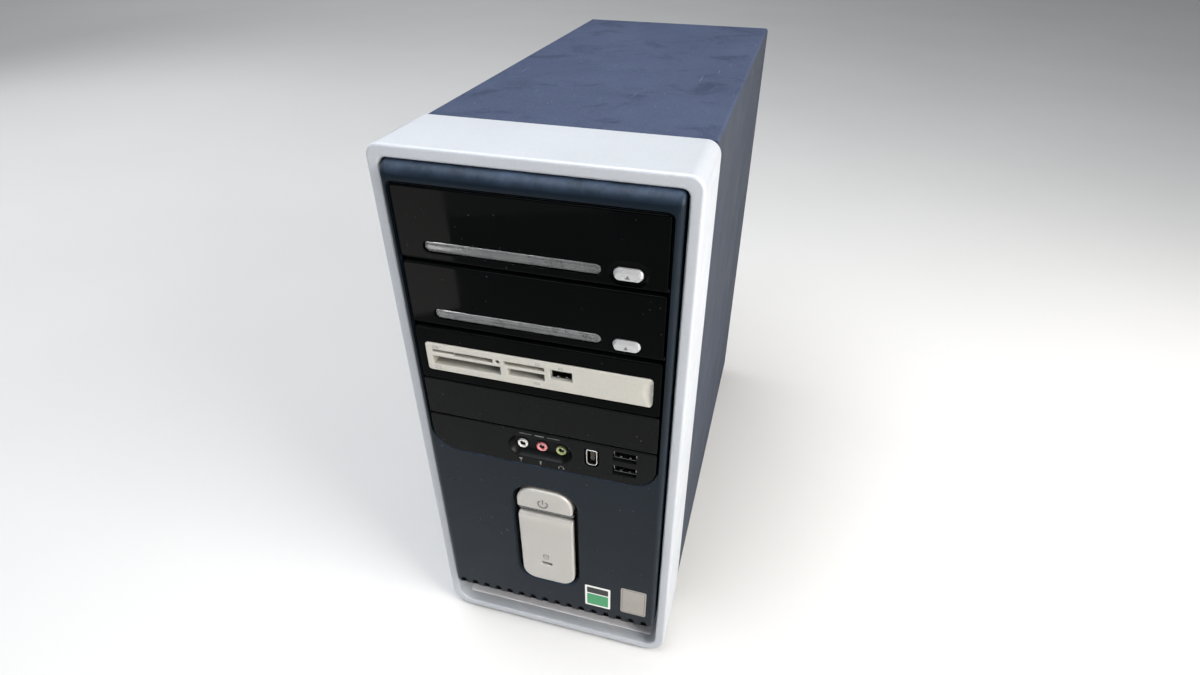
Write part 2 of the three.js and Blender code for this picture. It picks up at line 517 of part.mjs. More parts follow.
// Mainboard with its soldered sockets, slots and headers.
{
  const { x0, x1, v0, v1, z0, z1 } = BOARD;
  let s = block(x0, x1, v0, v1, z0, z1);
  s = all(s,
    block(66.4, x0 + 0.2, 272, 328, 188, 242),                                   // processor socket
    block(67.6, x0 + 0.2, 176, 184, 126, 265), block(67.6, x0 + 0.2, 194, 202, 126, 265),   // memory sockets
    block(61, x0 + 0.2, 262, 347, 114, 122.4), block(61, x0 + 0.2, 262, 347, 93.7, 102), block(61, x0 + 0.2, 262, 347, 73.4, 81.8),
    block(66.6, x0 + 0.2, 146, 155, 66, 122), block(66.6, x0 + 0.2, 160, 169, 66, 122),     // drive headers
    block(62.6, x0 + 0.2, 146, 156, 214, 266),                                    // main power socket
    block(66, x0 + 0.2, 220, 250, 150, 180),                                      // chipset
    block(69.6, x0 + 0.2, 190, 216, 56, 60));
  // memory module grooves, and room for the latches at the socket ends
  s = cut(s, block(66, 72, 179.1, 180.9, 128.9, 262.1), block(66, 72, 197.1, 198.9, 128.9, 262.1),
    block(60, 73, 274.6, 340.4, 117, 119.4));                                      // card in the first slot
  add(inside, 'mainboard', s, M.pcb);

  // rear connector block
  let r = block(50, 75.3, 362, 385.6, 130, 281);
  r = all(r, block(56, 73, 380, 391, 266, 279), block(54, 73, 380, 390.6, 206, 262));
  for (const z of [134, 142, 182, 190]) r = cut(r, block(57, 70, 376, 395, z, z + 5.4));
  r = cut(r, block(56, 69, 372, 395, 152, 164));
  add(inside, 'rear_port_block', r, M.beige);
}
for (const [name, d] of [['memory_module_a', 180], ['memory_module_b', 198]])
  add(inside, name, all(block(40.5, 71.7, d - 0.65, d + 0.65, 129.1, 261.9), block(46, 64, d - 1.9, d + 1.9, 137, 254)), M.pcb);
// memory latches: levers that pivot at the socket ends and swing away from the module
for (const [name, d, z, up] of [['memory_latch_a_top', 180, 265, 1], ['memory_latch_a_bottom', 180, 126, -1], ['memory_latch_b_top', 198, 265, 1], ['memory_latch_b_bottom', 198, 126, -1]]) {
  const prof = [[74.2, 1.4], [74.2, 4.2], [73, 5.2], [60, 5.2], [56, 7.4], [54.5, 6.6], [58, 2.4], [66, 0.5], [73.4, 0.5]]
    .map(([x, o]) => new THREE.Vector2(x, z + up * o));
  add(inside, name, alongY(new THREE.Shape(up > 0 ? prof : prof.reverse()), d - 3, d + 3), M.beige);
}

// Processor cooler: finned block and fan.
{
  let s = block(60, 66.1, 262, 338, 176, 254);
  for (let i = 0; i < 12; i++) s = all(s, block(30, 60.5, 262, 338, 176 + i * 6.93, 177.7 + i * 6.93));
  add(inside, 'cpu_heatsink', s, M.alu);
  const g = new THREE.Group();
  g.position.set(20.5, v(300), 215);
  g.rotation.y = Math.PI / 2;             // local +Z points towards the board, +X
  inside.add(g);
  add(g, 'cpu_fan_frame', fanFrame(76, 36.5, 18, 15, 7.6), M.fan);
  const r = new THREE.Group();
  r.position.set(0, 0, -1.8);
  g.add(r);
  add(r, 'cpu_fan_rotor', fanRotor(14, 34.8, 14, 7), M.fan);
}

// Modem card in the first slot, with its rear bracket.
add(inside, 'modem_card', cut(all(block(10, 60.6, 262, 380, 117.4, 119), block(60, 72.4, 275, 340, 117.4, 119), block(-8, 69, 384.4, 385.4, 112.4, 123.6),
  block(14, 40, 372, 385, 112.8, 123), block(10, 14, 372, 385, 117.4, 119)), block(20, 31, 376, 390, 114, 121.6)), M.pcb);

// ===================================================================== wiring
add(inside, 'main_power_cable', cable([[58, 262, 296.4], [57, 258, 284], [48, 240, 272], [36, 220, 262], [31, 200, 256],
  [31, 180, 250], [38, 162, 244], [47, 152.5, 240.6], [52, 151, 240], [57, 151, 240], [62.2, 151, 240]], 4.6, 8, 26), M.black);
add(inside, 'optical_ribbon_cable', ribbon([
  { p: [-36, 186.4, 338.6], w: [1, 0, 0] }, { p: [-36, 194, 338.6], w: [1, 0, 0] }, { p: [-36, 200, 334], w: [1, 0, 0] },
  { p: [-36, 203, 322], w: [1, 0, 0] }, { p: [-36, 205, 296], w: [1, 0, 0] }, { p: [-34, 212, 272], w: [1, 0, 0.1] },
  { p: [-26, 222, 240], w: [1, 0, 0.3] }, { p: [-12, 226, 205], w: [1, 0, 0.45] }, { p: [4, 225, 164], w: [0.9, 0, 0.7] },
  { p: [20, 219, 128], w: [0.6, 0, 0.9] }, { p: [35, 203, 104], w: [0.3, 0, 1] }, { p: [46, 180, 96], w: [0.1, 0, 1] },
  { p: [54, 166, 94], w: [0, 0, 1] }, { p: [59, 164.5, 94], w: [0, 0, 1] }, { p: [66.2, 164.5, 94], w: [0, 0, 1] }], 46, 1.2), M.grey);
add(inside, 'hard_drive_cable', ribbon([
  { p: [-28, 209.4, 157.5], w: [1, 0, 0] }, { p: [-28, 213, 157.5], w: [1, 0, 0] }, { p: [-27, 216, 151], w: [1, 0, 0.1] },
  { p: [-22, 213, 138], w: [0.9, 0, 0.4] }, { p: [-10, 205, 122], w: [0.7, 0, 0.8] }, { p: [6, 192, 108], w: [0.4, 0, 1] },
  { p: [22, 176, 100], w: [0.2, 0, 1] }, { p: [38, 160, 95], w: [0.1, 0, 1] }, { p: [50, 151.5, 94], w: [0, 0, 1] },
  { p: [58, 150.5, 94], w: [0, 0, 1] }, { p: [66.2, 150.5, 94], w: [0, 0, 1] }], 40, 1.2), M.grey);

export default tower;
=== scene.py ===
# Desktop computer tower: the looks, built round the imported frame.
import math
import random

import bmesh
import bpy
from mathutils import Matrix, Vector
from mathutils.geometry import tessellate_polygon


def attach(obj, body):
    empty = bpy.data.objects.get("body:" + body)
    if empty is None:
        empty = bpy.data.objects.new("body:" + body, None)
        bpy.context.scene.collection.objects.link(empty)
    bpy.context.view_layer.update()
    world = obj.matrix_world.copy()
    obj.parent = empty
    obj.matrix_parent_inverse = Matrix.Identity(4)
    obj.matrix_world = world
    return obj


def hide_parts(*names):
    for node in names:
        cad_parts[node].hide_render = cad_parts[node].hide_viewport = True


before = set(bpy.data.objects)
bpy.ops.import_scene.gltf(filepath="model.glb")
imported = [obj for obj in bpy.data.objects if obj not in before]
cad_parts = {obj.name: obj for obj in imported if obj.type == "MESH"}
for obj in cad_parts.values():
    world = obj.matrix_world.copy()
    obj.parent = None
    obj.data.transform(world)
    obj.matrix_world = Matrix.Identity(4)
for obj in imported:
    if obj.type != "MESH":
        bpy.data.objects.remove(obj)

random.seed(7)
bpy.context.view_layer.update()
SCENE = bpy.context.scene

# ------------------------------------------------------------------ camera
cam_data = bpy.data.cameras.new("camera")
cam = bpy.data.objects.new("camera", cam_data)
SCENE.collection.objects.link(cam)
SCENE.camera = cam
cam_data.sensor_width = 36.0
cam_data.lens = 20.103
cam_data.shift_x = -0.00615
cam_data.shift_y = 0.00551
cam_data.clip_start = 0.02
cam.matrix_world = Matrix((
    (0.964158, -0.155247, 0.215167, 0.121119),
    (0.265270, 0.547200, -0.793854, -0.487727),
    (0.005505, 0.822478, 0.568770, 0.495204),
    (0, 0, 0, 1)))

# =============================================================== mesh toolkit
# Sizes below are millimetres: x to the right, d the depth behind the silver
# ring's front face, z up. A solid is a list of rings of points, front to back.
YF = -195.0
ZB = 2.5
TO3 = {"d": lambda a, b, w: (a, w, b),      # outline in x, z; runs along depth
       "x": lambda a, b, w: (w, a, b),      # outline in d, z; runs along x
       "z": lambda a, b, w: (a, b, w)}      # outline in x, d; runs along z


def rrect(x0, x1, z0, z1, r=1.0, seg=5):
    bl, br, tr, tl = r if isinstance(r, (list, tuple)) else (r,) * 4
    out = []
    for cx, cz, rad, a0 in ((x0 + bl, z0 + bl, bl, math.pi), (x1 - br, z0 + br, br, 1.5 * math.pi),
                            (x1 - tr, z1 - tr, tr, 0.0), (x0 + tl, z1 - tl, tl, 0.5 * math.pi)):
        for i in range(seg + 1):
            a = a0 + 0.5 * math.pi * i / seg
            out.append((cx + rad * math.cos(a), cz + rad * math.sin(a)))
    return out


def stadium(x0, x1, z0, z1, seg=8):
    return rrect(x0, x1, z0, z1, (z1 - z0) / 2 - 0.001, seg)


def circle(cx, cz, r, n=24, a0=0.0):
    return [(cx + r * math.cos(a0 + 2 * math.pi * i / n), cz + r * math.sin(a0 + 2 * math.pi * i / n)) for i in range(n)]


def offset(loop, dist):
    """Moves an anticlockwise loop outwards by dist."""
    if abs(dist) < 1e-9:
        return list(loop)
    out, n = [], len(loop)
    for i in range(n):
        (ax, az), (bx, bz), (cx, cz) = loop[i - 1], loop[i], loop[(i + 1) % n]
        e1, e2 = (bx - ax, bz - az), (cx - bx, cz - bz)
        l1, l2 = math.hypot(*e1) or 1e-9, math.hypot(*e2) or 1e-9
        n1, n2 = (e1[1] / l1, -e1[0] / l1), (e2[1] / l2, -e2[0] / l2)
        k = 1 + n1[0] * n2[0] + n1[1] * n2[1]
        k = max(k, 0.35)
        out.append((bx + dist * (n1[0] + n2[0]) / k, bz + dist * (n1[1] + n2[1]) / k))
    return out


def rounding(w0, w1, r, seg=3, r1=None):
    """(inset, w) pairs from one cap to the other, with both edges rounded."""
    r1 = r if r1 is None else r1
    s = 1 if w1 > w0 else -1
    out = []
    for i in range(seg + 1):
        a = 0.5 * math.pi * i / seg
        out.append((r * (1 - math.sin(a)), w0 + s * r * (1 - math.cos(a))))
    for i in range(seg + 1):
        a = 0.5 * math.pi * i / seg
        out.append((r1 * (1 - math.cos(a)), w1 - s * r1 * (1 - math.sin(a))))
    return out


class M:
    """Gathers faces of several materials into one mesh."""

    def __init__(self, pad=0.0):
        self.v, self.f, self.mi, self.mats = [], [], [], []
        self.pad = pad   # a flat border inside each cap, so that its shading stays even

    def slot(self, mat):
        if mat not in self.mats:
            self.mats.append(mat)
        return self.mats.index(mat)

    def put(self, verts, faces, mat):
        base, k = len(self.v), self.slot(mat)
        self.v += [(x * 0.001, (d + YF) * 0.001, z * 0.001) for x, d, z in verts]
        self.f += [tuple(base + i for i in f) for f in faces]
        self.mi += [k] * len(faces)

    # rings: lists of (ring points 2D, w); caps are filled at both ends
    def solid(self, outer, holes, mat, axis="d", caps=(True, True)):
        to = TO3[axis]
        verts, faces, ends = [], [], ([], [])
        for which, rings in enumerate([outer] + list(holes)):
            n = len(rings[0][0])
            if self.pad and n > 12:
                k = self.pad if which else -self.pad
                rings = list(rings)
                if caps[0]:
                    rings = [(offset(rings[0][0], k), rings[0][1])] + rings
                if caps[1]:
                    rings = rings + [(offset(rings[-1][0], k), rings[-1][1])]
            base = len(verts)
            for pts, w in rings:
                verts += [to(a, b, w) for a, b in pts]
            for k in range(len(rings) - 1):
                for i in range(n):
                    j = (i + 1) % n
                    a, b = base + k * n + i, base + k * n + j
                    faces.append((a, b, b + n, a + n))
            ends[0].append([base + i for i in range(n)])
            ends[1].append([base + (len(rings) - 1) * n + i for i in range(n)])
        for want, loops in zip(caps, ends):
            if want:
                if len(loops) == 1 and len(loops[0]) <= 4:
                    faces.append(tuple(loops[0]))
                    continue
                flat = [i for lp in loops for i in lp]
                polys = [[Vector(verts[i]) for i in lp] for lp in loops]
                faces += [tuple(flat[i] for i in t) for t in tessellate_polygon(polys)]
        self.put(verts, faces, mat)

    def plate(self, outline, w0, w1, mat, holes=(), r=0.4, seg=3, axis="d", hr=None, r1=None):
        hr = r if hr is None else hr
        outer = [(offset(outline, -i), w) for i, w in rounding(w0, w1, r, seg, r1)]
        hs = [[(offset(h, i), w) for i, w in rounding(w0, w1, hr, seg)] for h in holes]
        self.solid(outer, hs, mat, axis)

    def loop(self, rings, mat, axis="d"):
        """A ring-shaped body: the last ring joins the first."""
        to = TO3[axis]
        n = len(rings[0][0])
        verts, faces = [], []
        for pts, w in rings:
            verts += [to(a, b, w) for a, b in pts]
        for k in range(len(rings)):
            for i in range(n):
                j = (i + 1) % n
                a, b = k * n + i, k * n + j
                c, d = ((k + 1) % len(rings)) * n + j, ((k + 1) % len(rings)) * n + i
                faces.append((a, b, c, d))
        self.put(verts, faces, mat)

    def box(self, x0, x1, d0, d1, z0, z1, mat, r=0.4, seg=2, axis="d"):
        r = min(r, 0.45 * min(x1 - x0, d1 - d0, z1 - z0))
        if axis == "d":
            self.plate(rrect(x0, x1, z0, z1, r, seg), d0, d1, mat, (), r, seg, "d")
        elif axis == "x":
            self.plate(rrect(d0, d1, z0, z1, r, seg), x0, x1, mat, (), r, seg, "x")
        else:
            self.plate(rrect(x0, x1, d0, d1, r, seg), z0, z1, mat, (), r, seg, "z")

    def lathe(self, profile, mat, centre, axis="d", n=32):
        """profile: (radius, w) pairs from the axis back to the axis."""
        to = TO3[axis]
        ca, cb = centre
        verts, faces, rows = [], [], []
        for r, w in profile:
            if r < 1e-6:
                rows.append([len(verts)])
                verts.append(to(ca, cb, w))
            else:
                rows.append(list(range(len(verts), len(verts) + n)))
                verts += [to(ca + r * math.cos(2 * math.pi * i / n), cb + r * math.sin(2 * math.pi * i / n), w) for i in range(n)]
        for p, q in zip(rows, rows[1:]):
            for i in range(n):
                j = (i + 1) % n
                if len(p) == 1 and len(q) == 1:
                    continue
                if len(p) == 1:
                    faces.append((p[0], q[i], q[j]))
                elif len(q) == 1:
                    faces.append((p[i], p[j], q[0]))
                else:
                    faces.append((p[i], p[j], q[j], q[i]))
        self.put(verts, faces, mat)

    def ringlathe(self, profile, mat, centre, axis="d", n=32):
        self.loop([(circle(centre[0], centre[1], r, n), w) for r, w in profile], mat, axis)

    def rod(self, centre, r, w0, w1, mat, axis="d", n=24, b=0.3):
        b = min(b, 0.45 * abs(w1 - w0), 0.9 * r)
        s = 1 if w1 > w0 else -1
        self.lathe([(0, w0), (r - b, w0), (r - b * 0.3, w0 + s * b * 0.3), (r, w0 + s * b), (r, w1 - s * b), (r - b * 0.3, w1 - s * b * 0.3), (r - b, w1), (0, w1)], mat, centre, axis, n)

    def tube(self, pts, r, mat, n=8, closed=False, squash=None):
        """A round bar through points (x, d, z); squash=(direction, factor) is not used."""
        P = [Vector(p) for p in pts]
        m = len(P)
        T = []
        for i in range(m):
            a, b = (P[i - 1], P[(i + 1) % m]) if closed else (P[max(i - 1, 0)], P[min(i + 1, m - 1)])
            T.append((b - a).normalized())
        up = Vector((0, 0, 1)) if abs(T[0].z) < 0.9 else Vector((1, 0, 0))
        u = (up - T[0] * up.dot(T[0])).normalized()
        verts, faces = [], []
        for i in range(m):
            u = (u - T[i] * u.dot(T[i])).normalized()
            w = T[i].cross(u)
            for k in range(n):
                a = 2 * math.pi * k / n
                verts.append(tuple(P[i] + u * (r * math.cos(a)) + w * (r * math.sin(a))))
        for i in range(m if closed else m - 1):
            for k in range(n):
                a, b = i * n + k, i * n + (k + 1) % n
                j = ((i + 1) % m) * n
                faces.append((a, b, j + (k + 1) % n, j + k))
        if not closed:
            faces += [tuple(range(n)), tuple((m - 1) * n + k for k in range(n))]
        self.put(verts, faces, mat)

    def build(self, name, body, replaces=(), angle=38, cut=None, bevel=None, wn=True):
        me = bpy.data.meshes.new(name)
        me.from_pydata(self.v, [], self.f)
        for mt in self.mats:
            me.materials.append(mt)
        me.polygons.foreach_set("material_index", self.mi)
        bm = bmesh.new()
        bm.from_mesh(me)
        bmesh.ops.remove_doubles(bm, verts=bm.verts, dist=1e-7)
        bmesh.ops.recalc_face_normals(bm, faces=bm.faces)
        bm.to_mesh(me)
        bm.free()
        ob = bpy.data.objects.new(name, me)
        SCENE.collection.objects.link(ob)
        if cut is not None:
            tool = cut.raw(name + "_cut")
            md = ob.modifiers.new("cut", "BOOLEAN")
            md.operation, md.object, md.solver = "DIFFERENCE", tool, "EXACT"
            if bevel:
                bv = ob.modifiers.new("edge", "BEVEL")
                bv.width, bv.segments, bv.limit_method, bv.angle_limit = bevel * 0.001, 2, "ANGLE", math.radians(40)
                bv.harden_normals = False
            bpy.context.view_layer.update()
            deps = bpy.context.evaluated_depsgraph_get()
            done = bpy.data.meshes.new_from_object(ob.evaluated_get(deps))
            ob.modifiers.clear()
            ob.data = done
            bpy.data.objects.remove(tool)
            me = done
        me.polygons.foreach_set("use_smooth", [True] * len(me.polygons))
        me.set_sharp_from_angle(angle=math.radians(angle))
        if wn:
            w = ob.modifiers.new("normals", "WEIGHTED_NORMAL")
            w.keep_sharp = True
            w.weight = 60
        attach(ob, body)
        if replaces:
            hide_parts(*([replaces] if isinstance(replaces, str) else replaces))
        return ob

    def raw(self, name):
        me = bpy.data.meshes.new(name)
        me.from_pydata(self.v, [], self.f)
        bm = bmesh.new()
        bm.from_mesh(me)
        bmesh.ops.recalc_face_normals(bm, faces=bm.faces)
        bm.to_mesh(me)
        bm.free()
        ob = bpy.data.objects.new(name, me)
        SCENE.collection.objects.link(ob)
        return ob


# ================================================================== materials
class NB:
    def __init__(self, name):
        self.m = bpy.data.materials.new(name)
        self.m.use_nodes = True
        self.t = self.m.node_tree
        self.b = self.t.nodes["Principled BSDF"]
        self._tc = None

    def n(self, kind, **inputs):
        node = self.t.nodes.new(kind)
        for k, val in inputs.items():
            if hasattr(node, k) and k not in ("color",):
                setattr(node, k, val)
        return node

    def link(self, a, b):
        self.t.links.new(a, b)

    def coords(self):
        if self._tc is None:
            self._tc = self.t.nodes.new("ShaderNodeTexCoord").outputs["Object"]
        return self._tc

    def mapped(self, scale=(1, 1, 1), rot=(0, 0, 0)):
        mp = self.t.nodes.new("ShaderNodeMapping")
        mp.inputs["Scale"].default_value = scale
        mp.inputs["Rotation"].default_value = rot
        self.link(self.coords(), mp.inputs["Vector"])
        return mp.outputs["Vector"]

    def noise(self, scale, detail=3, rough=0.55, vec=None, distort=0.0):
        nz = self.t.nodes.new("ShaderNodeTexNoise")
        nz.inputs["Scale"].default_value = scale
        nz.inputs["Detail"].default_value = detail
        nz.inputs["Roughness"].default_value = rough
        nz.inputs["Distortion"].default_value = distort
        self.link(vec or self.coords(), nz.inputs["Vector"])
        return nz.outputs["Fac"]

    def voronoi(self, scale, vec=None, out="Distance", feature="F1"):
        vz = self.t.nodes.new("ShaderNodeTexVoronoi")
        vz.feature = feature
        vz.inputs["Scale"].default_value = scale
        self.link(vec or self.coords(), vz.inputs["Vector"])
        return vz.outputs[out]

    def ramp(self, fac, lo, hi, a=0.0, b=1.0):
        mr = self.t.nodes.new("ShaderNodeMapRange")
        mr.inputs["From Min"].default_value = lo
        mr.inputs["From Max"].default_value = hi
        mr.inputs["To Min"].default_value = a
        mr.inputs["To Max"].default_value = b
        self.link(fac, mr.inputs["Value"])
        return mr.outputs["Result"]

    def math(self, op, a, b=None, c=None):
        mt = self.t.nodes.new("ShaderNodeMath")
        mt.operation = op
        for i, val in enumerate((a, b, c)):
            if val is None:
                continue
            if isinstance(val, (int, float)):
                mt.inputs[i].default_value = val
            else:
                self.link(val, mt.inputs[i])
        return mt.outputs[0]

    def mix(self, fac, a, b, blend="MIX"):
        mx = self.t.nodes.new("ShaderNodeMix")
        mx.data_type = "RGBA"
        mx.blend_type = blend
        if isinstance(fac, (int, float)):
            mx.inputs[0].default_value = fac
        else:
            self.link(fac, mx.inputs[0])
        for i, val in ((6, a), (7, b)):
            if isinstance(val, (tuple, list)):
                mx.inputs[i].default_value = (*val[:3], 1)
            else:
                self.link(val, mx.inputs[i])
        return mx.outputs[2]

    def normal_z(self):
        g = self.t.nodes.new("ShaderNodeNewGeometry")
        s = self.t.nodes.new("ShaderNodeSeparateXYZ")
        self.link(g.outputs["Normal"], s.inputs[0])
        return s.outputs["Z"]

    def side_face(self):
        """1 on faces that point left or right, 0 elsewhere."""
        g = self.t.nodes.new("ShaderNodeNewGeometry")
        s = self.t.nodes.new("ShaderNodeSeparateXYZ")
        self.link(g.outputs["True Normal"], s.inputs[0])
        return self.math("MULTIPLY", s.outputs["X"], s.outputs["X"])


def shade(c, k):
    return tuple(min(1.0, max(0.0, x * k)) for x in c)


def surface(name, color, rough=0.45, metallic=0.0, spec=0.5, coat=0.0, coat_rough=0.05, var=0.10, var_scale=22,
            grain=0.0, grain_scale=2600, grain2=0.0, grain2_scale=500, rough_var=0.10, dust_and_sheen=0.0, dust_and_sheen_color=(0.5, 0.5, 0.5),
            specks=0.0, speck_color=(0.75, 0.78, 0.8), scratches=0.0, scratch_color=None, brushed=None, brush_amount=0.0,
            stains=0.0, stain_color=None, flake=0.0, tint=None, painted_side_reflection=0.0, painted_side_reflection_color=(0.06, 0.06, 0.06)):
    k = NB(name)
    b = k.b
    b.inputs["Metallic"].default_value = metallic
    b.inputs["Specular IOR Level"].default_value = spec
    b.inputs["Coat Weight"].default_value = coat
    b.inputs["Coat Roughness"].default_value = coat_rough
    col = k.mix(k.ramp(k.noise(var_scale, 4), 0.3, 0.7), shade(color, 1 - var), tint or shade(color, 1 + var))
    rg = k.ramp(k.noise(var_scale * 2.3, 5), 0.3, 0.7, max(0.02, rough - rough_var * rough * 2), min(1, rough + rough_var * rough * 2))
    if flake:
        fl = k.voronoi(1500, out="Color")
        sp = k.t.nodes.new("ShaderNodeSeparateColor")
        k.link(fl, sp.inputs[0])
        f = k.ramp(sp.outputs[0], 0.55, 1.0, 0.0, flake)
        col = k.mix(f, col, shade(color, 1.55))
    if brushed:
        br = k.noise(900, 3, 0.6, k.mapped(brushed))
        col = k.mix(k.ramp(br, 0.35, 0.65, 0.0, brush_amount), col, shade(color, 0.62))
        rg = k.math("ADD", rg, k.ramp(br, 0.3, 0.7, -0.06, 0.08))
    if stains:
        st = k.math("MULTIPLY", k.ramp(k.noise(26, 7, 0.72, distort=0.5), 0.53, 0.66, 0.0, stains), k.ramp(k.normal_z(), 0.2, 0.8, 0.25, 1.0))
        col = k.mix(st, col, stain_color or shade(color, 1.6))
        rg = k.math("ADD", rg, k.math("MULTIPLY", st, 0.18))
    if painted_side_reflection:
        # painted reflection: faces that point left or right are mixed towards grey, so the upright sides look greyer
        # than the top, as reflected light makes them look
        fa = k.math("MULTIPLY", k.ramp(k.side_face(), 0.35, 0.9), k.ramp(k.noise(9, 5, 0.6), 0.25, 0.6, 0.6, 1.0))
        col = k.mix(k.math("MULTIPLY", fa, painted_side_reflection), col, painted_side_reflection_color)
    if scratches:
        total = None
        for i, (rot, sc) in enumerate((((0.3, 0.5, 0.35), (60, 3.0, 60)), ((0.1, 0.2, -0.9), (75, 2.2, 75)), ((0.9, 0.1, 1.7), (48, 2.6, 48)))):
            s = k.ramp(k.noise(4.3 + i, 2, 0.5, k.mapped(sc, rot)), 0.735 - 0.01 * i, 0.76, 0.0, 1.0)
            where = k.ramp(k.noise(19 + 7 * i, 3), 0.48, 0.62)
            s = k.math("MULTIPLY", s, where)
            total = s if total is None else k.math("MAXIMUM", total, s)
        amt = k.math("MULTIPLY", total, scratches)
        col = k.mix(amt, col, scratch_color or shade(color, 2.6))
    if specks:
        v = k.voronoi(240)
        c = k.t.nodes.new("ShaderNodeSeparateColor")
        k.link(k.voronoi(240, out="Color"), c.inputs[0])
        rad = k.ramp(c.outputs[1], 0.80, 1.0, 0.0, 0.11)
        hit = k.math("LESS_THAN", v, rad)
        near = k.ramp(k.noise(30, 3), 0.42, 0.6)
        amt = k.math("MULTIPLY", k.math("MULTIPLY", hit, near), specks)
        col = k.mix(amt, col, speck_color)
        rg = k.math("ADD", rg, k.math("MULTIPLY", amt, 0.4))
    # Up-facing layer: a colour mixed onto faces that point up. For most materials it is dust; on the navy panel it is
    # painted sheen, a light blue highlight on the top roll.
    if dust_and_sheen:
        up = k.ramp(k.normal_z(), 0.3, 1.0)
        dn = k.ramp(k.noise(60, 6, 0.7), 0.35, 0.75, 0.15, 1.0)
        amt = k.math("MULTIPLY", k.math("MULTIPLY", up, dn), dust_and_sheen)
        col = k.mix(amt, col, dust_and_sheen_color)
        rg = k.math("ADD", rg, k.math("MULTIPLY", amt, 0.35))
    k.link(col, b.inputs["Base Color"])
    k.link(rg, b.inputs["Roughness"])
    if grain or grain2:
        h = None
        if grain:
            h = k.math("MULTIPLY", k.noise(grain_scale, 2, 0.5), 1.0)
        if grain2:
            g2 = k.math("MULTIPLY", k.noise(grain2_scale, 3, 0.6), grain2 / max(grain, 1e-6) if grain else 1.0)
            h = g2 if h is None else k.math("ADD", h, g2)
        bp = k.t.nodes.new("ShaderNodeBump")
        bp.inputs["Strength"].default_value = min(1.0, (grain or grain2))
        bp.inputs["Distance"].default_value = 0.0002
        k.link(h, bp.inputs["Height"])
        k.link(bp.outputs["Normal"], b.inputs["Normal"])
    return k.m


SILVER = surface("silver_paint", (0.455, 0.478, 0.515), 0.40, 0.10, grain=0.22, grain_scale=4200, flake=0.10, var=0.02, specks=0.10, speck_color=(0.35, 0.35, 0.35), dust_and_sheen=0.03, grain2=0.08, grain2_scale=260)
# inner silver for the intake scoop and the ribs inside the ring: the tray's pale silver, made much lighter than the
# ring's paint as painted light for the shaded scoop
SILVER_PAINTED_LIGHT = surface("silver_inner_painted_light", (0.84, 0.835, 0.865), 0.5, 0.05, grain=0.2, grain_scale=3600, var=0.05, dust_and_sheen=0.12, dust_and_sheen_color=(0.45, 0.43, 0.42))
# Navy: its strong light-blue up-facing layer is painted sheen on the upward-facing top roll, not dust.
NAVY = surface("navy_satin", (0.0040, 0.0088, 0.0150), 0.34, 0.0, grain=0.25, grain_scale=2300, var=0.12, var_scale=16, specks=0.12, scratches=0.06, dust_and_sheen=0.62, dust_and_sheen_color=(0.100, 0.150, 0.250), spec=0.15)
GLOSS = surface("piano_black", (0.0006, 0.0009, 0.0010), 0.05, 0.0, spec=0.038, var=0.3, specks=0.04, scratches=0.03, rough_var=0.3, grain2=0.012, grain2_scale=60, dust_and_sheen=0.02, dust_and_sheen_color=(0.2, 0.2, 0.2))
SATIN = surface("satin_black", (0.0026, 0.0030, 0.0031), 0.30, 0.0, spec=0.09, grain=0.22, grain_scale=2600, var=0.15, specks=0.10, scratches=0.05, dust_and_sheen=0.03, dust_and_sheen_color=(0.12, 0.12, 0.12))
BLACK = surface("moulded_black", (0.018, 0.018, 0.019), 0.55, grain=0.4, grain_scale=1800, var=0.15, dust_and_sheen=0.15, dust_and_sheen_color=(0.16, 0.16, 0.16))
BLACK_DEEP = surface("deep_black", (0.006, 0.006, 0.0065), 0.6, grain=0.3, grain_scale=1500, var=0.15)
# painted shade: a near-black, unlit-looking colour for sheets that stand in for deep shade
SHADOW = surface("painted_shade_lining", (0.0012, 0.0012, 0.0014), 0.85, spec=0.03, grain=0.3, grain_scale=1500, var=0.15)
CHAMP = surface("champagne_paint", (0.50, 0.485, 0.44), 0.36, 0.25, grain=0.22, grain_scale=4200, flake=0.14, var=0.03, specks=0.12, speck_color=(0.25, 0.24, 0.22))
BUTTON = surface("button_silver", (0.45, 0.435, 0.41), 0.36, 0.15, grain=0.10, grain_scale=4200, flake=0.06, var=0.02, rough_var=0.03, specks=0.04, speck_color=(0.25, 0.24, 0.22))
EJECT = surface("eject_silver", (0.50, 0.50, 0.51), 0.26, 0.40, grain=0.10, grain_scale=4200, var=0.03)
SMOKE = surface("smoked_chrome", (0.16, 0.165, 0.17), 0.22, 0.8, var=0.10, brushed=(1, 30, 30), brush_amount=0.4)
# case paint: the grey mixed onto its upright sides is painted reflection
PAINT = surface("case_powder_coat", (0.048, 0.061, 0.103), 0.62, 0.0, spec=0.004, grain=0.8, grain_scale=1700, grain2=0.06, grain2_scale=420, flake=0.60, var=0.10, var_scale=9, specks=0.35, speck_color=(0.5, 0.53, 0.60), scratches=0.30, scratch_color=(0.26, 0.30, 0.38), stains=0.46, stain_color=(0.022, 0.029, 0.050), dust_and_sheen=0.05, dust_and_sheen_color=(0.20, 0.24, 0.33), tint=(0.058, 0.073, 0.122), painted_side_reflection=0.72, painted_side_reflection_color=(0.056, 0.060, 0.063))
PAINT_IN = surface("case_inside_zinc", (0.50, 0.51, 0.52), 0.34, 0.9, var=0.10, var_scale=60, brushed=(1, 22, 1), brush_amount=0.25)
RUBBER = surface("foot_rubber", (0.016, 0.016, 0.017), 0.8, grain=0.6, grain_scale=900, var=0.2, dust_and_sheen=0.0, scratches=0.1)
CHROME = surface("nickel", (0.62, 0.62, 0.60), 0.18, 1.0, var=0.06, grain2=0.05, grain2_scale=300, scratches=0.1)
GOLD = surface("gold_contact", (0.75, 0.52, 0.18), 0.25, 1.0, var=0.06)
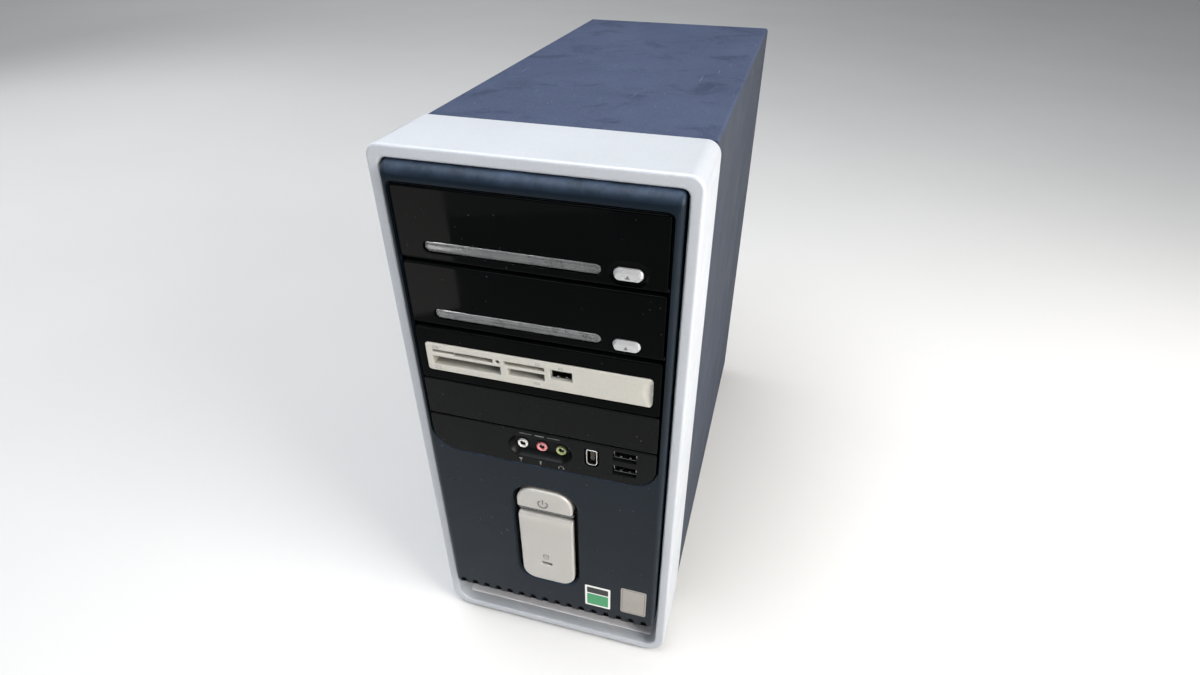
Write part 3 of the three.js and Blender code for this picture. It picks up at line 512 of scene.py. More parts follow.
ALU = surface("aluminium_cast", (0.62, 0.63, 0.64), 0.36, 0.95, var=0.06, grain=0.3, grain_scale=1400, brushed=(20, 1, 1), brush_amount=0.2)
ALU_FIN = surface("aluminium_fin", (0.68, 0.69, 0.70), 0.28, 1.0, var=0.05, brushed=(1, 1, 30), brush_amount=0.25)
PINK = surface("jack_pink", (0.80, 0.28, 0.30), 0.35, var=0.05)
LIME = surface("jack_lime", (0.45, 0.52, 0.22), 0.35, var=0.05)
BLUE = surface("jack_blue", (0.22, 0.42, 0.62), 0.35, var=0.05)
WHITE = surface("white_plastic", (0.74, 0.74, 0.73), 0.4, var=0.04, dust_and_sheen=0.1)
IVORY = surface("ivory_plastic", (0.70, 0.66, 0.53), 0.45, var=0.05, grain=0.15, dust_and_sheen=0.15)
RED = surface("red_plastic", (0.50, 0.02, 0.015), 0.35, var=0.08, grain=0.1)
GREEN_P = surface("green_plastic", (0.04, 0.30, 0.12), 0.4, var=0.06)
PURPLE_P = surface("violet_plastic", (0.24, 0.14, 0.42), 0.4, var=0.06)
TEAL_P = surface("teal_plastic", (0.05, 0.36, 0.36), 0.4, var=0.06)
LABEL = surface("blank_label", (0.78, 0.78, 0.76), 0.45, var=0.03, stains=0.1, stain_color=(0.6, 0.58, 0.5))
# dark grey for the raised symbols on the buttons: painted shade standing in for the shading round their embossed
# outlines
SYMBOL_PAINTED_SHADE = surface("symbol_painted_shade", (0.13, 0.13, 0.125), 0.4, 0.3, var=0.05)
STICKER = surface("sticker_silver", (0.34, 0.32, 0.29), 0.4, 0.3, var=0.05, flake=0.2)
PRINT = surface("pale_print", (0.55, 0.56, 0.56), 0.5, var=0.08)
PRINT_DIM = surface("worn_print", (0.17, 0.175, 0.175), 0.5, var=0.15)
PRINT_DARK = surface("dark_print", (0.10, 0.10, 0.105), 0.5, var=0.08)
FANBLK = surface("fan_black", (0.014, 0.014, 0.015), 0.38, grain=0.1, var=0.1, dust_and_sheen=0.35, dust_and_sheen_color=(0.18, 0.17, 0.16))


def zinc(name, color=(0.50, 0.51, 0.515), rough=0.34, scale=140):
    """Galvanised sheet: spangle cells with slightly different tone and gloss."""
    k = NB(name)
    k.b.inputs["Metallic"].default_value = 1.0
    c = k.t.nodes.new("ShaderNodeSeparateColor")
    k.link(k.voronoi(scale, out="Color"), c.inputs[0])
    col = k.mix(c.outputs[0], shade(color, 0.86), shade(color, 1.10))
    big = k.ramp(k.noise(18, 4), 0.3, 0.7, 0.0, 0.35)
    col = k.mix(big, col, shade(color, 0.8))
    k.link(col, k.b.inputs["Base Color"])
    rg = k.math("ADD", k.ramp(c.outputs[1], 0, 1, rough - 0.07, rough + 0.08), k.ramp(k.noise(300, 3), 0.3, 0.7, -0.04, 0.04))
    k.link(rg, k.b.inputs["Roughness"])
    bp = k.t.nodes.new("ShaderNodeBump")
    bp.inputs["Strength"].default_value = 0.10
    bp.inputs["Distance"].default_value = 0.0003
    k.link(k.noise(700, 3), bp.inputs["Height"])
    k.link(bp.outputs["Normal"], k.b.inputs["Normal"])
    return k.m


ZINC = zinc("galvanised_sheet")
TIN = zinc("tinned_sheet", (0.58, 0.585, 0.59), 0.27, 60)
PSU_GREY = surface("supply_case", (0.42, 0.43, 0.44), 0.38, 0.85, var=0.08, grain=0.2, grain_scale=1200, brushed=(1, 18, 1), brush_amount=0.2)


def clear_plastic():
    k = NB("clear_lens")
    b = k.b
    b.inputs["Transmission Weight"].default_value = 0.97
    b.inputs["IOR"].default_value = 1.49
    b.inputs["Specular IOR Level"].default_value = 0.5
    col = k.mix(k.ramp(k.noise(120, 3), 0.3, 0.7), (0.78, 0.80, 0.80), (0.90, 0.91, 0.91))
    k.link(col, b.inputs["Base Color"])
    k.link(k.ramp(k.noise(500, 3), 0.3, 0.7, 0.03, 0.08), b.inputs["Roughness"])
    return k.m


def strip_backing():
    """Grey metallic strip under the lens, with paler patches. Its long bands, lighter and darker across the strip's
    height, are painted highlight lines standing in for the light the crowned lens catches.
    """
    k = NB("strip_backing")
    k.b.inputs["Metallic"].default_value = 0.5
    # painted highlight: bands of lighter and darker tone across the strip's height
    wv = k.t.nodes.new("ShaderNodeTexWave")
    wv.wave_type, wv.bands_direction = "BANDS", "Z"
    wv.inputs["Scale"].default_value = 160
    wv.inputs["Distortion"].default_value = 0.4
    k.link(k.coords(), wv.inputs["Vector"])
    col = k.mix(k.ramp(wv.outputs["Fac"], 0, 1), (0.016, 0.017, 0.018), (0.070, 0.072, 0.074))
    patch = k.ramp(k.noise(55, 4, 0.6, k.mapped((1, 1, 0.2))), 0.45, 0.62)
    col = k.mix(k.math("MULTIPLY", patch, 0.5), col, (0.15, 0.153, 0.157))
    k.link(col, k.b.inputs["Base Color"])
    k.link(k.ramp(k.noise(260, 3), 0.3, 0.7, 0.22, 0.42), k.b.inputs["Roughness"])
    return k.m


CLEAR = clear_plastic()
STRIP = strip_backing()

# ============================================================== front: silver ring
CH = "chassis"


def ring_frame():
    m = M()
    s = 10
    outer = rrect(-88, 88, ZB, ZB + 383.3, [15, 15, 8, 8], s)
    mouth = rrect(-80.8, 80.8, ZB + 6.3, ZB + 376.1, [10, 10, 4, 4], s)
    inside = rrect(-85, 85, 5.5, 383.2, [12, 12, 6, 6], s)
    rear = rrect(-78.9, 84.6, 14.5, 380.8, [2, 2, 2, 2], s)
    rings = [(offset(outer, -0.5), 54.0), (offset(outer, -0.12), 53.85), (outer, 53.4), (outer, 30), (outer, 12)]
    R = 2.0
    for i in range(7):
        a = 0.5 * math.pi * i / 6
        rings.append((offset(outer, -R * (1 - math.cos(a))), R * (1 - math.sin(a))))
    for i in range(6):
        a = 0.5 * math.pi * i / 5
        rings.append((offset(mouth, 1.3 * (1 - math.sin(a))), 1.3 * (1 - math.cos(a))))
    rings += [(offset(mouth, 0.1), 8), (offset(mouth, 0.5), 24), (offset(mouth, 0.9), 24.4), (offset(inside, -0.1), 24.6), (inside, 25), (inside, 51.6),
              (offset(rear, 0.4), 51.8), (rear, 52.1), (rear, 53.7), (offset(rear, 0.4), 54.0)]
    m.loop(rings, SILVER)
    # snap ribs on the inside of the ring
    for z in (110, 250, 330):
        m.box(-85.2, -82.2, 27, 49, z, z + 1.6, SILVER_PAINTED_LIGHT, 0.3)
        m.box(82.2, 85.2, 27, 49, z, z + 1.6, SILVER_PAINTED_LIGHT, 0.3)
    for x in (-50, 0, 50):
        m.box(x, x + 1.6, 27, 49, 380.6, 383.4, SILVER_PAINTED_LIGHT, 0.3)
    return m.build("ring_shell", CH, "bezel_frame")


ring_frame()

# ================================================================ front: blue panel
PB, PT, PW = ZB + 35.0, ZB + 376.0, 79.5


def panel_ring(d, extra=0.0, zt=PT, zb=PB, hw=PW, rs=4.0, rt=10.0, rb=2.8):
    def ins(R, c):
        if d >= c:
            return 0.0
        q = min(R, c - d)
        return R - math.sqrt(max(0.0, R * R - q * q))
    ix, it, ib = ins(rs, -5 + rs), ins(rt, -5 + rt), ins(rb, -5 + rb)
    return rrect(-hw + ix + extra, hw - ix - extra, zb + ib + extra, zt - it - extra, [3.2, 3.2, 3.2, 3.2], 6)


def front_panel():
    m = M()
    ds = [-5, -4.93, -4.75, -4.5, -4.1, -3.6, -3.0, -2.3, -1.5, -0.6, 0.5, 1.8, 3.2, 5.0, 8, 14, 19.3, 19.8]
    OR = [(panel_ring(-5, 0.4), -5)] + [(panel_ring(d, 0.0 if d < 19.5 else 0.35), d) for d in ds]
    di = [-2.7, -2.55, -2.2, -1.6, -0.8, 0.2, 1.6, 3.2, 5.0, 10, 19.3, 19.8]
    IR = []
    for d in di:
        IR.append((panel_ring(d, 2.2 if d < 19.5 else 1.9, rs=4.0, rt=9.5, rb=2.6) if d > -2.6 else panel_ring(-2.55, 2.9), d))
    bay = rrect(-74.9, 74.9, ZB + 181.8, ZB + 365.3, [16.5, 16.5, 3, 3], 10)
    pill = rrect(-22.8, 22.4, 67.1, 163.4, [14, 14, 15.5, 15.5], 10)
    bay_r = [(offset(bay, 0.9), -5), (offset(bay, 0.5), -5), (offset(bay, 0.15), -4.9), (bay, -4.6), (bay, -2.7)]
    pill_r = [(offset(pill, 2.15), -5), (offset(pill, 1.75), -5), (offset(pill, 1.5), -4.9), (offset(pill, 0.2), -3.4), (pill, -3.1), (pill, -2.7)]
    to = TO3["d"]
    verts, faces = [], []

    def rows(rings):
        base, n = len(verts), len(rings[0][0])
        for pts, w in rings:
            verts.extend(to(a, b, w) for a, b in pts)
        for k in range(len(rings) - 1):
            for i in range(n):
                j = (i + 1) % n
                a, b = base + k * n + i, base + k * n + j
                faces.append((a, b, b + n, a + n))
        return [base + i for i in range(n)], [base + (len(rings) - 1) * n + i for i in range(n)]

    of_, ob_ = rows(OR)
    if_, ib_ = rows(IR)
    bf, bb = rows(bay_r)
    pf, pb = rows(pill_r)
    for a, b, c in ((of_, bf, pf), (if_, bb, pb)):
        flat = a + b + c
        faces.extend(tuple(flat[i] for i in t) for t in tessellate_polygon([[Vector(verts[i]) for i in q] for q in (a, b, c)]))
    n = len(ob_)
    for i in range(n):
        faces.append((ob_[i], ob_[(i + 1) % n], ib_[(i + 1) % n], ib_[i]))
    m.put(verts, faces, NAVY)
    c = M()
    for i in range(16):
        x = -72.2 + i * 9.62
        out = rrect(x - 2.4, x + 2.4, PB - 5, PB + 7.3, [0.2, 0.2, 2.35, 2.35], 8)
        c.solid([(out, -8), (out, 11.5)], [], NAVY)
    ob = m.build("front_panel_shell", CH, "front_panel", cut=c, bevel=0.35, angle=50)
    return ob


front_panel()

# ring of ribs and bosses behind the blue panel, and its black carrier
m = M()
car = rrect(-84.7, 84.7, 42.5, 382.9, [2, 2, 5.5, 5.5], 6)
m.plate(car, 20, 23, BLACK, [rrect(-74.8, 74.8, 183.5, 369.5, 2, 4), rrect(-25, 25, 66.5, 166, 6, 5),
                             *[rrect(x, x + 30, z, z + 34, 3, 4) for x in (-68, 38) for z in (60, 104)]], 0.4, 2)
for z in (120, 262):
    for x0, x1 in ((-78.2, -76.7), (76.7, 78.2)):
        m.box(x0, x1, 22, 60.6, z, z + 10, BLACK, 0.4)
        m.box(x0 - (0.9 if x0 > 0 else 0) + (0 if x0 > 0 else 0.0), x1 + (0.0 if x0 > 0 else 0.9), 58.6, 60.8, z + 1, z + 9, BLACK, 0.4)
for x in (-42, 27):
    m.box(x, x + 15, 22, 60.6, 65, 67.4, BLACK, 0.4)
# bars between the bay fronts, which close the seams from behind
for z0, z1 in ((ZB + 320.9, ZB + 323.1), (ZB + 278.5, ZB + 280.9), (ZB + 240.1, ZB + 240.7), (ZB + 211.6, ZB + 212.1)):
    m.box(-74.5, 74.5, -0.8, 20.5, z0, z1, BLACK, 0.15)
# painted shade: a near-black sheet just inside the toothed edge, standing in for the shade seen through the notches
m.box(-76.5, 76.5, -1.9, -1.0, PB - 2.2, PB + 10, SHADOW, 0.2)
m.box(-76.5, 76.5, -1.2, 19.5, PB + 2.3, PB + 3.3, SHADOW, 0.2)
m.build("carrier_frame", CH, "bezel_carrier")

# intake tray under the panel, with a louvred back wall
m = M()
tray = [(8.4, 9.1), (49.6, 9.1), (50, 9.5), (50, 37.6), (49.6, 38), (48.6, 38), (48.2, 37.6), (48.2, 14.6), (47.3, 12.4), (45.2, 11.0), (9.4, 10.3), (8.4, 9.9)]
m.plate(tray, -80, 80, SILVER_PAINTED_LIGHT, (), 0.3, 2, "x")
c = M()
for i in range(7):
    x = -70 + i * 20.5
    c.solid([(rrect(x, x + 14, 16.5, 31.5, 3, 5), 44), (rrect(x, x + 14, 16.5, 31.5, 3, 5), 54)], [], SILVER_PAINTED_LIGHT)
m.build("intake_scoop", CH, "intake_tray", cut=c, bevel=0.25)

# ============================================================ front: disc drives
HWF = 74.3


def drive_front(tag, z0, z1, strip_z, eject_z, dish):
    m = M(0.2)
    face = rrect(-HWF, HWF, z0, z1, 2.0, 6)
    pocket = stadium(-59.4, 39.6, strip_z - 3.2, strip_z + 3.2, 10)
    hole = stadium(45.4, 62.0, eject_z - 3.9, eject_z + 3.9, 10)
    outer = [(offset(face, -i), w) for i, w in rounding(-5, 1, 0.9, 4, 0.3)]
    pr = [(offset(pocket, 0.45), -5), (offset(pocket, 0.12), -4.9), (pocket, -4.6), (pocket, -2.0), (offset(pocket, -1.2), -1.9), (offset(pocket, -1.2), 1)]
    if dish:
        big = stadium(43.4, 65.0, eject_z - 6.2, eject_z + 7.6, 10)
        er = [(big, -5)]
        for t in (0.06, 0.2, 0.42, 0.7, 0.9, 1.0):
            s = math.sin(0.5 * math.pi * t)
            er.append(([(a[0] * (1 - t) + b[0] * t, a[1] * (1 - t) + b[1] * t) for a, b in zip(big, hole)], -5 + 0.75 * s))
        er += [(hole, -4.0), (hole, 1)]
    else:
        er = [(offset(hole, 0.5), -5), (offset(hole, 0.12), -4.9), (hole, -4.55), (hole, 1)]
    m.solid(outer, [pr, er], GLOSS)
    # clips on the back that hold the front to the tray
    for x in (-50, 0, 50):
        m.box(x - 4, x + 4, 0.9, 1.25, z0 + 6, z0 + 14, BLACK, 0.1)
    m.build(f"drive_front_{tag}", f"disc_tray_{tag}", f"tray_fascia_{tag}")
    # the strip: printed backing under a crowned clear lens
    m = M()
    back = stadium(-58.6, 38.8, strip_z - 2.5, strip_z + 2.5, 10)
    m.plate(back, -3.0, -2.1, STRIP, (), 0.2, 2)
    m.build(f"strip_backing_{tag}", f"disc_tray_{tag}", ())
    m = M()
    L = stadium(-59.1, 39.3, strip_z - 2.95, strip_z + 2.95, 10)
    rings = [(offset(L, -2.2), -5.0), (offset(L, -1.5), -4.93), (offset(L, -0.9), -4.74), (offset(L, -0.4), -4.42), (offset(L, -0.1), -4.0), (L, -3.6), (L, -3.15), (offset(L, -0.1), -3.08)]
    m.solid(rings, [], CLEAR)
    m.build(f"strip_lens_{tag}", f"disc_tray_{tag}", f"fascia_lens_{tag}")
    # eject button: a pill with a bevelled upper half and a raised triangle
    m = M()
    P = lambda x0, x1, a, b: stadium(x0, x1, a, b, 10)
    y = eject_z
    rings = [(P(47.3, 60.1, y - 2.7, y + 0.9), -6.0), (P(46.9, 60.5, y - 2.95, y + 1.25), -5.95), (P(46.45, 60.95, y - 3.25, y + 2.35), -5.3),
             (P(46.0, 61.4, y - 3.42, y + 3.3), -4.9), (P(45.8, 61.6, y - 3.5, y + 3.5), -4.5), (P(45.8, 61.6, y - 3.5, y + 3.5), -0.9), (P(46.0, 61.4, y - 3.3, y + 3.3), -0.8)]
    m.solid(rings, [], EJECT)
    # the raised triangle is dark grey as painted shade for its outline
    tri = [(52.4, y - 1.9), (55.0, y - 1.9), (53.7, y + 0.2)]
    m.solid([([(53.7 + (a - 53.7) * 0.8, y - 1.2 + (b - y + 1.2) * 0.8) for a, b in tri], -6.18), (tri, -6.05), (tri, -5.9)], [], SYMBOL_PAINTED_SHADE)
    m.build(f"eject_pill_{tag}", f"eject_button_{tag}", f"eject_button_{tag}")


drive_front("upper", ZB + 323.4, ZB + 364.8, ZB + 330.9, ZB + 330.4, True)
drive_front("lower", ZB + 281.2, ZB + 320.6, ZB + 288.5, ZB + 287.2, False)


# ============================================================ front: card reader
def usb_socket(m, x0, x1, z0, z1, d0, d1, upside=False, wall=0.45):
    """Metal shell with its tongue, contacts and spring tabs, seen from the front."""
    o, i = rrect(x0, x1, z0, z1, 0.7, 3), rrect(x0 + wall, x1 - wall, z0 + wall, z1 - wall, 0.4, 3)
    m.loop([(offset(o, -0.12), d0), (o, d0 + 0.12), (o, d1), (i, d1), (i, d0 + 0.12), (offset(i, 0.12), d0)], CHROME)
    m.box(x0 + 0.2, x1 - 0.2, d1 - 0.4, d1 + 0.1, z0 + 0.2, z1 - 0.2, BLACK_DEEP, 0.1)
    h = z1 - z0
    tz = z0 + h * (0.60 if not upside else 0.14)
    m.box(x0 + 1.5, x1 - 1.5, d0 + 1.3, d1, tz, tz + h * 0.24, BLACK, 0.15)
    for k in range(4):
        cx = x0 + 2.6 + k * (x1 - x0 - 5.2) / 3
        m.box(cx - 0.45, cx + 0.45, d0 + 1.6, d1 - 0.5, tz - 0.12, tz + 0.05, GOLD, 0.04)
    for k in (0.3, 0.7):
        cx = x0 + (x1 - x0) * k
        m.box(cx - 0.7, cx + 0.7, d0 + 1.0, d1 - 3.0, z0 + wall - 0.05, z0 + wall + 0.35, CHROME, 0.08)


def card_bay():
    z0, z1 = ZB + 241.0, ZB + 278.2
    m = M(0.15)
    face = rrect(-HWF, HWF, z0, z1, 1.6, 5)
    hole = rrect(-69.75, 69.75, ZB + 247.05, ZB + 267.75, 2.4, 6)
    outer = [(offset(face, -i), w) for i, w in rounding(-5, 1, 0.9, 4, 0.3)]
    hr = [(offset(hole, 0.4), -5), (offset(hole, 0.1), -4.9), (hole, -4.6), (hole, 1)]
    m.solid(outer, [hr], GLOSS)
    m.build("card_surround", CH, "card_bay_surround")
    m = M(0.15)
    plate = rrect(-69.4, 69.4, ZB + 247.4, ZB + 267.4, 2.1, 6)
    XD, CF, SD, MS, US = ((-65.3, -26.5, 260.1, 262.7), (-65.3, -21.9, 252.2, 258.0), (-19.7, 5.5, 260.0, 262.6), (-17.3, 5.5, 253.2, 257.9), (9.0, 22.6, 255.8, 262.4))
    holes = [rrect(a, b, ZB + c, ZB + d, 0.35, 3) for a, b, c, d in (CF, SD, MS, US)]
    # the first slot steps up to a thinner one at its left
    a, b, c, d = XD
    holes.append([(a, ZB + c + 0.9), (-51.6, ZB + c + 0.9), (-51.4, ZB + c), (b, ZB + c), (b, ZB + d), (a, ZB + d)])
    holes.append(circle(-23.4, ZB + 261.4, 1.2, 16))
    outer = [(offset(plate, -i), w) for i, w in rounding(-5.25, 1, 0.7, 4, 0.3)]
    hs = []
    for h in holes:
        hs.append([(offset(h, 0.45), -5.25), (offset(h, 0.1), -5.1), (h, -4.7), (h, 1)])
    m.solid(outer, hs, CHAMP)
    c = M()
    # thumb scoop at the right end
    prof = [(0, -31 - 28.8)] + [(28.8 * math.sin(math.pi * i / 24), -31 - 28.8 * math.cos(math.pi * i / 24)) for i in range(1, 24)] + [(0, -31 + 28.8)]
    c.lathe(prof, CHAMP, (75.5, ZB + 257.4), "d", 64)
    m.build("card_plate", CH, "card_reader_fascia", cut=c, angle=30)
    m = M()
    for cx, cz, w_, h_ in ((-62.6, 264.7, 3.6, 1.5), (-62.6, 249.9, 3.4, 1.8), (1.6, 264.4, 2.4, 1.6), (0.8, 250.6, 3.4, 1.3), (15.8, 264.2, 2.8, 1.2)):
        pts = [(cx - w_ / 2, ZB + cz - h_ / 2), (cx + w_ / 2, ZB + cz - h_ / 2), (cx + w_ / 2, ZB + cz + h_ / 2 - 0.4), (cx + w_ / 2 - 0.4, ZB + cz + h_ / 2), (cx - w_ / 2, ZB + cz + h_ / 2)]
        inn = offset(pts, -0.2)
        m.loop([(pts, -5.29), (pts, -5.2), (inn, -5.2), (inn, -5.29)], PRINT_DARK)
    m.build("card_marks", CH, ())
    # the reader itself: slots with their rails and pins, and the port beside them
    m = M()
    body = rrect(-69, 32.6, ZB + 245.2, ZB + 270.6, 0.8, 3)
    hs = []
    for a, b, c_, d_ in (XD, CF, SD, MS, US):
        h = rrect(a - 0.3, b + 0.3, ZB + c_ - 0.3, ZB + d_ + 0.3, 0.2, 2)
        hs.append([(h, 1.25), (h, 24.0)])
    m.solid([(offset(body, -0.3), 1.25), (body, 1.55), (body, 24.0)], hs, BLACK_DEEP)
    m.box(-69, 32.6, 24.0, 95, ZB + 245.2, ZB + 270.6, ZINC, 0.6)
    for k in range(24):
        m.rod((-62.5 + k * 1.65, ZB + 254.6), 0.28, 12.0, 23.8, GOLD, "d", 6, 0.1)
        m.rod((-62.5 + k * 1.65, ZB + 255.9), 0.28, 12.0, 23.8, GOLD, "d", 6, 0.1)
    # light ramps inside the openings
    for (a, b, c_, d_) in (CF, MS):
        m.plate([(1.3, ZB + c_ + 0.05), (4.6, ZB + c_ + 0.05), (4.6, ZB + c_ + 0.8), (1.3, ZB + c_ + 0.35)], a + 0.2, b - 0.2, CHAMP, (), 0.05, 1, "x")
    for k in range(9):
        m.box(-18.2 + k * 2.5, -17.0 + k * 2.5, 8.0, 23.0, ZB + 261.9, ZB + 262.3, GOLD, 0.05)
        m.box(-15.6 + k * 2.1, -14.7 + k * 2.1, 8.0, 23.0, ZB + 256.9, ZB + 257.3, GOLD, 0.05)
    usb_socket(m, 9.3, 22.3, ZB + 256.1, ZB + 262.1, -3.6, 11.0)
    m.rod((-23.4, ZB + 261.4), 1.0, -3.6, 1.6, SMOKE, "d", 16, 0.4)
    m.build("card_reader_unit", CH, "card_reader")


card_bay()

# ================================================== front: blank bay and ports
m = M(0.15)
face = rrect(-HWF, HWF, ZB + 212.5, ZB + 239.8, 1.2, 4)
m.plate(face, -5, 1, SATIN, (), 0.6, 3, r1=0.3)
m.box(-58, 58, 0.8, 3.6, ZB + 217, ZB + 219, BLACK, 0.3)
m.box(-58, 58, 0.8, 3.6, ZB + 233, ZB + 235, BLACK, 0.3)
m.tube([(56.6, -5.03, ZB + 217.2), (57.4, -5.08, ZB + 217.15), (60.4, -5.08, ZB + 217.1), (61.2, -5.03, ZB + 217.05)], 0.22, SATIN, 6)
for x in (-70.2, 67.2):
    m.box(x, x + 3, 0.8, 9, ZB + 222, ZB + 230, BLACK, 0.4)
m.build("blank_bay_front", CH, "blank_bay_cover")


def port_panel():
    m = M(0.12)
    z0, z1 = ZB + 182.3, ZB + 211.2
    face = rrect(-HWF, HWF, z0, z1, [16, 16, 1.2, 1.2], 10)
    outer = [(offset(face, -i), w) for i, w in rounding(-5, 1, 0.6, 3, 0.3)]
    zc = ZB
    A = stadium(-21.6, 20.8, zc + 188.9, zc + 206.4, 12)
    B = rrect(-18.9, 18.1, zc + 191.9, zc + 205.2, 6.4, 12)
    rec = [(offset(A, 0.5), -5.0), (offset(A, 0.1), -4.85)]
    for t in (0.0, 0.15, 0.4, 0.7, 1.0):
        pts = [(a[0] * (1 - t) + b[0] * t, a[1] * (1 - t) + b[1] * t) for a, b in zip(A, B)]
        rec.append((pts, -4.6 + 3.9 * t ** 0.8))
    rec.append((B, 1))
    fw = rrect(28.9, 38.1, zc + 191.8, zc + 206, [3.0, 3.0, 0.6, 0.6], 5)
    u1, u2 = rrect(46.9, 61.9, zc + 200.9, zc + 208.2, 0.5, 3), rrect(46.9, 61.9, zc + 189.2, zc + 196.5, 0.5, 3)
    hs = [rec] + [[(offset(h, 0.4), -5), (offset(h, 0.1), -4.9), (h, -4.6), (h, 1)] for h in (fw, u1, u2)]
    m.solid(outer, hs, SATIN)
    # floor of the recess with three collars for the jacks
    floor = offset(B, 0.4)
    jx = (-13.6, -0.6, 12.4)
    jz = zc + 196.6
    m.solid([(floor, -0.6), (floor, 0.6)], [[(circle(x, jz, 3.75, 28), -0.6), (circle(x, jz, 3.75, 28), 0.6)] for x in jx], SATIN)
    for x in jx:
        m.ringlathe([(4.5, -0.6), (4.35, -0.95), (3.95, -1.0), (3.75, -0.8), (3.75, -0.4), (4.5, -0.4)], SATIN, (x, jz), "d", 32)
    m.build("port_front", CH, "port_panel")
    # printed marks: two hairlines, and pictograms for line in, microphone and headphones
    m = M()
    for x0, x1 in ((-13.5, -5.5), (4.8, 12.8)):
        m.box(x0, x1, -5.06, -4.95, zc + 208.55, zc + 208.85, PRINT_DIM, 0.02)
    m.box(-3.4, 2.6, -5.06, -4.95, zc + 208.3, zc + 209.0, PRINT_DIM, 0.3)
    m.tube([(13.2 + 1.7 * math.cos(math.pi * t / 8), -5.03, zc + 184.9 + 1.7 * math.sin(math.pi * t / 8)) for t in range(9)], 0.17, PRINT_DIM, 6)
    m.box(11.3, 11.9, -5.06, -4.95, zc + 184.0, zc + 185.4, PRINT_DIM, 0.2)
    m.box(14.5, 15.1, -5.06, -4.95, zc + 184.0, zc + 185.4, PRINT_DIM, 0.2)
    m.plate(rrect(-1.1, -0.1, zc + 184.9, zc + 187.5, 0.48, 5), -5.06, -4.95, PRINT_DIM, (), 0.02, 1)
    m.box(-0.75, -0.45, -5.06, -4.95, zc + 183.6, zc + 185.0, PRINT_DIM, 0.1)
    m.solid([([(-15.3, zc + 187.2), (-12.7, zc + 187.2), (-14.0, zc + 185.0)][::-1], -5.06), ([(-15.3, zc + 187.2), (-12.7, zc + 187.2), (-14.0, zc + 185.0)][::-1], -4.95)], [], PRINT_DIM)
    m.box(-14.15, -13.85, -5.06, -4.95, zc + 183.6, zc + 185.2, PRINT_DIM, 0.1)
    m.build("port_marks", CH, ())
    # jacks
    m = M()
    m.box(-20.5, 19.5, 1.3, 13.9, zc + 190.4, zc + 202.4, BLACK, 0.5)
    for x, mt in zip(jx, (WHITE, PINK, LIME)):
        m.ringlathe([(3.45, 1.3), (3.45, -1.3), (3.2, -1.75), (2.75, -1.9), (2.35, -1.75), (2.05, -1.3), (1.95, 0.5), (1.9, 1.3)], mt, (x, jz - 0.2), "d", 36)
        m.ringlathe([(1.95, 1.2), (1.95, -0.9), (1.75, -0.9), (1.75, 1.2)], CHROME, (x, jz - 0.2), "d", 28)
        m.rod((x, jz - 0.2), 1.9, 0.9, 1.5, BLACK_DEEP, "d", 24, 0.1)
        m.box(x - 0.3, x + 0.3, 0.2, 1.4, jz - 1.4, jz + 0.2, CHROME, 0.1)
    m.build("audio_jacks", CH, "audio_jack_block")
    # port board with its metal-shelled sockets
    m = M()
    m.box(-26, 66, 14.2, 15.8, zc + 186, zc + 210, GREEN_P, 0.2)
    usb_socket(m, 47.2, 61.6, zc + 201.15, zc + 207.95, -2.4, 12.0)
    usb_socket(m, 47.2, 61.6, zc + 189.45, zc + 196.25, -2.4, 12.0)
    o = rrect(29.9, 37.1, zc + 192.6, zc + 205.2, [2.6, 2.6, 0.7, 0.7], 5)
    i = offset(o, -0.75)
    m.loop([(offset(o, -0.15), -4.7), (o, -4.5), (o, 12), (i, 12), (i, -4.2), (offset(i, 0.15), -4.7)], CHROME)
    m.box(30.2, 36.8, 11.5, 13.0, zc + 193.0, zc + 204.8, BLACK_DEEP, 0.2)
    m.box(32.3, 34.7, -2.6, 12.0, zc + 194.9, zc + 203.4, BLACK, 0.3)
    for k in range(3):
        for x in (32.15, 34.7):
            m.box(x, x + 0.15, -2.2, 9.0, zc + 196.2 + k * 2.4, zc + 197.2 + k * 2.4, GOLD, 0.03)
    for k in range(6):
        m.box(-22 + k * 6.5, -19.5 + k * 6.5, 15.8, 17.0, zc + 203, zc + 205, BLACK, 0.2)
    m.box(50, 62, 15.8, 20.0, zc + 196, zc + 202, WHITE, 0.3)
    m.build("port_board_unit", CH, "port_board")


port_panel()


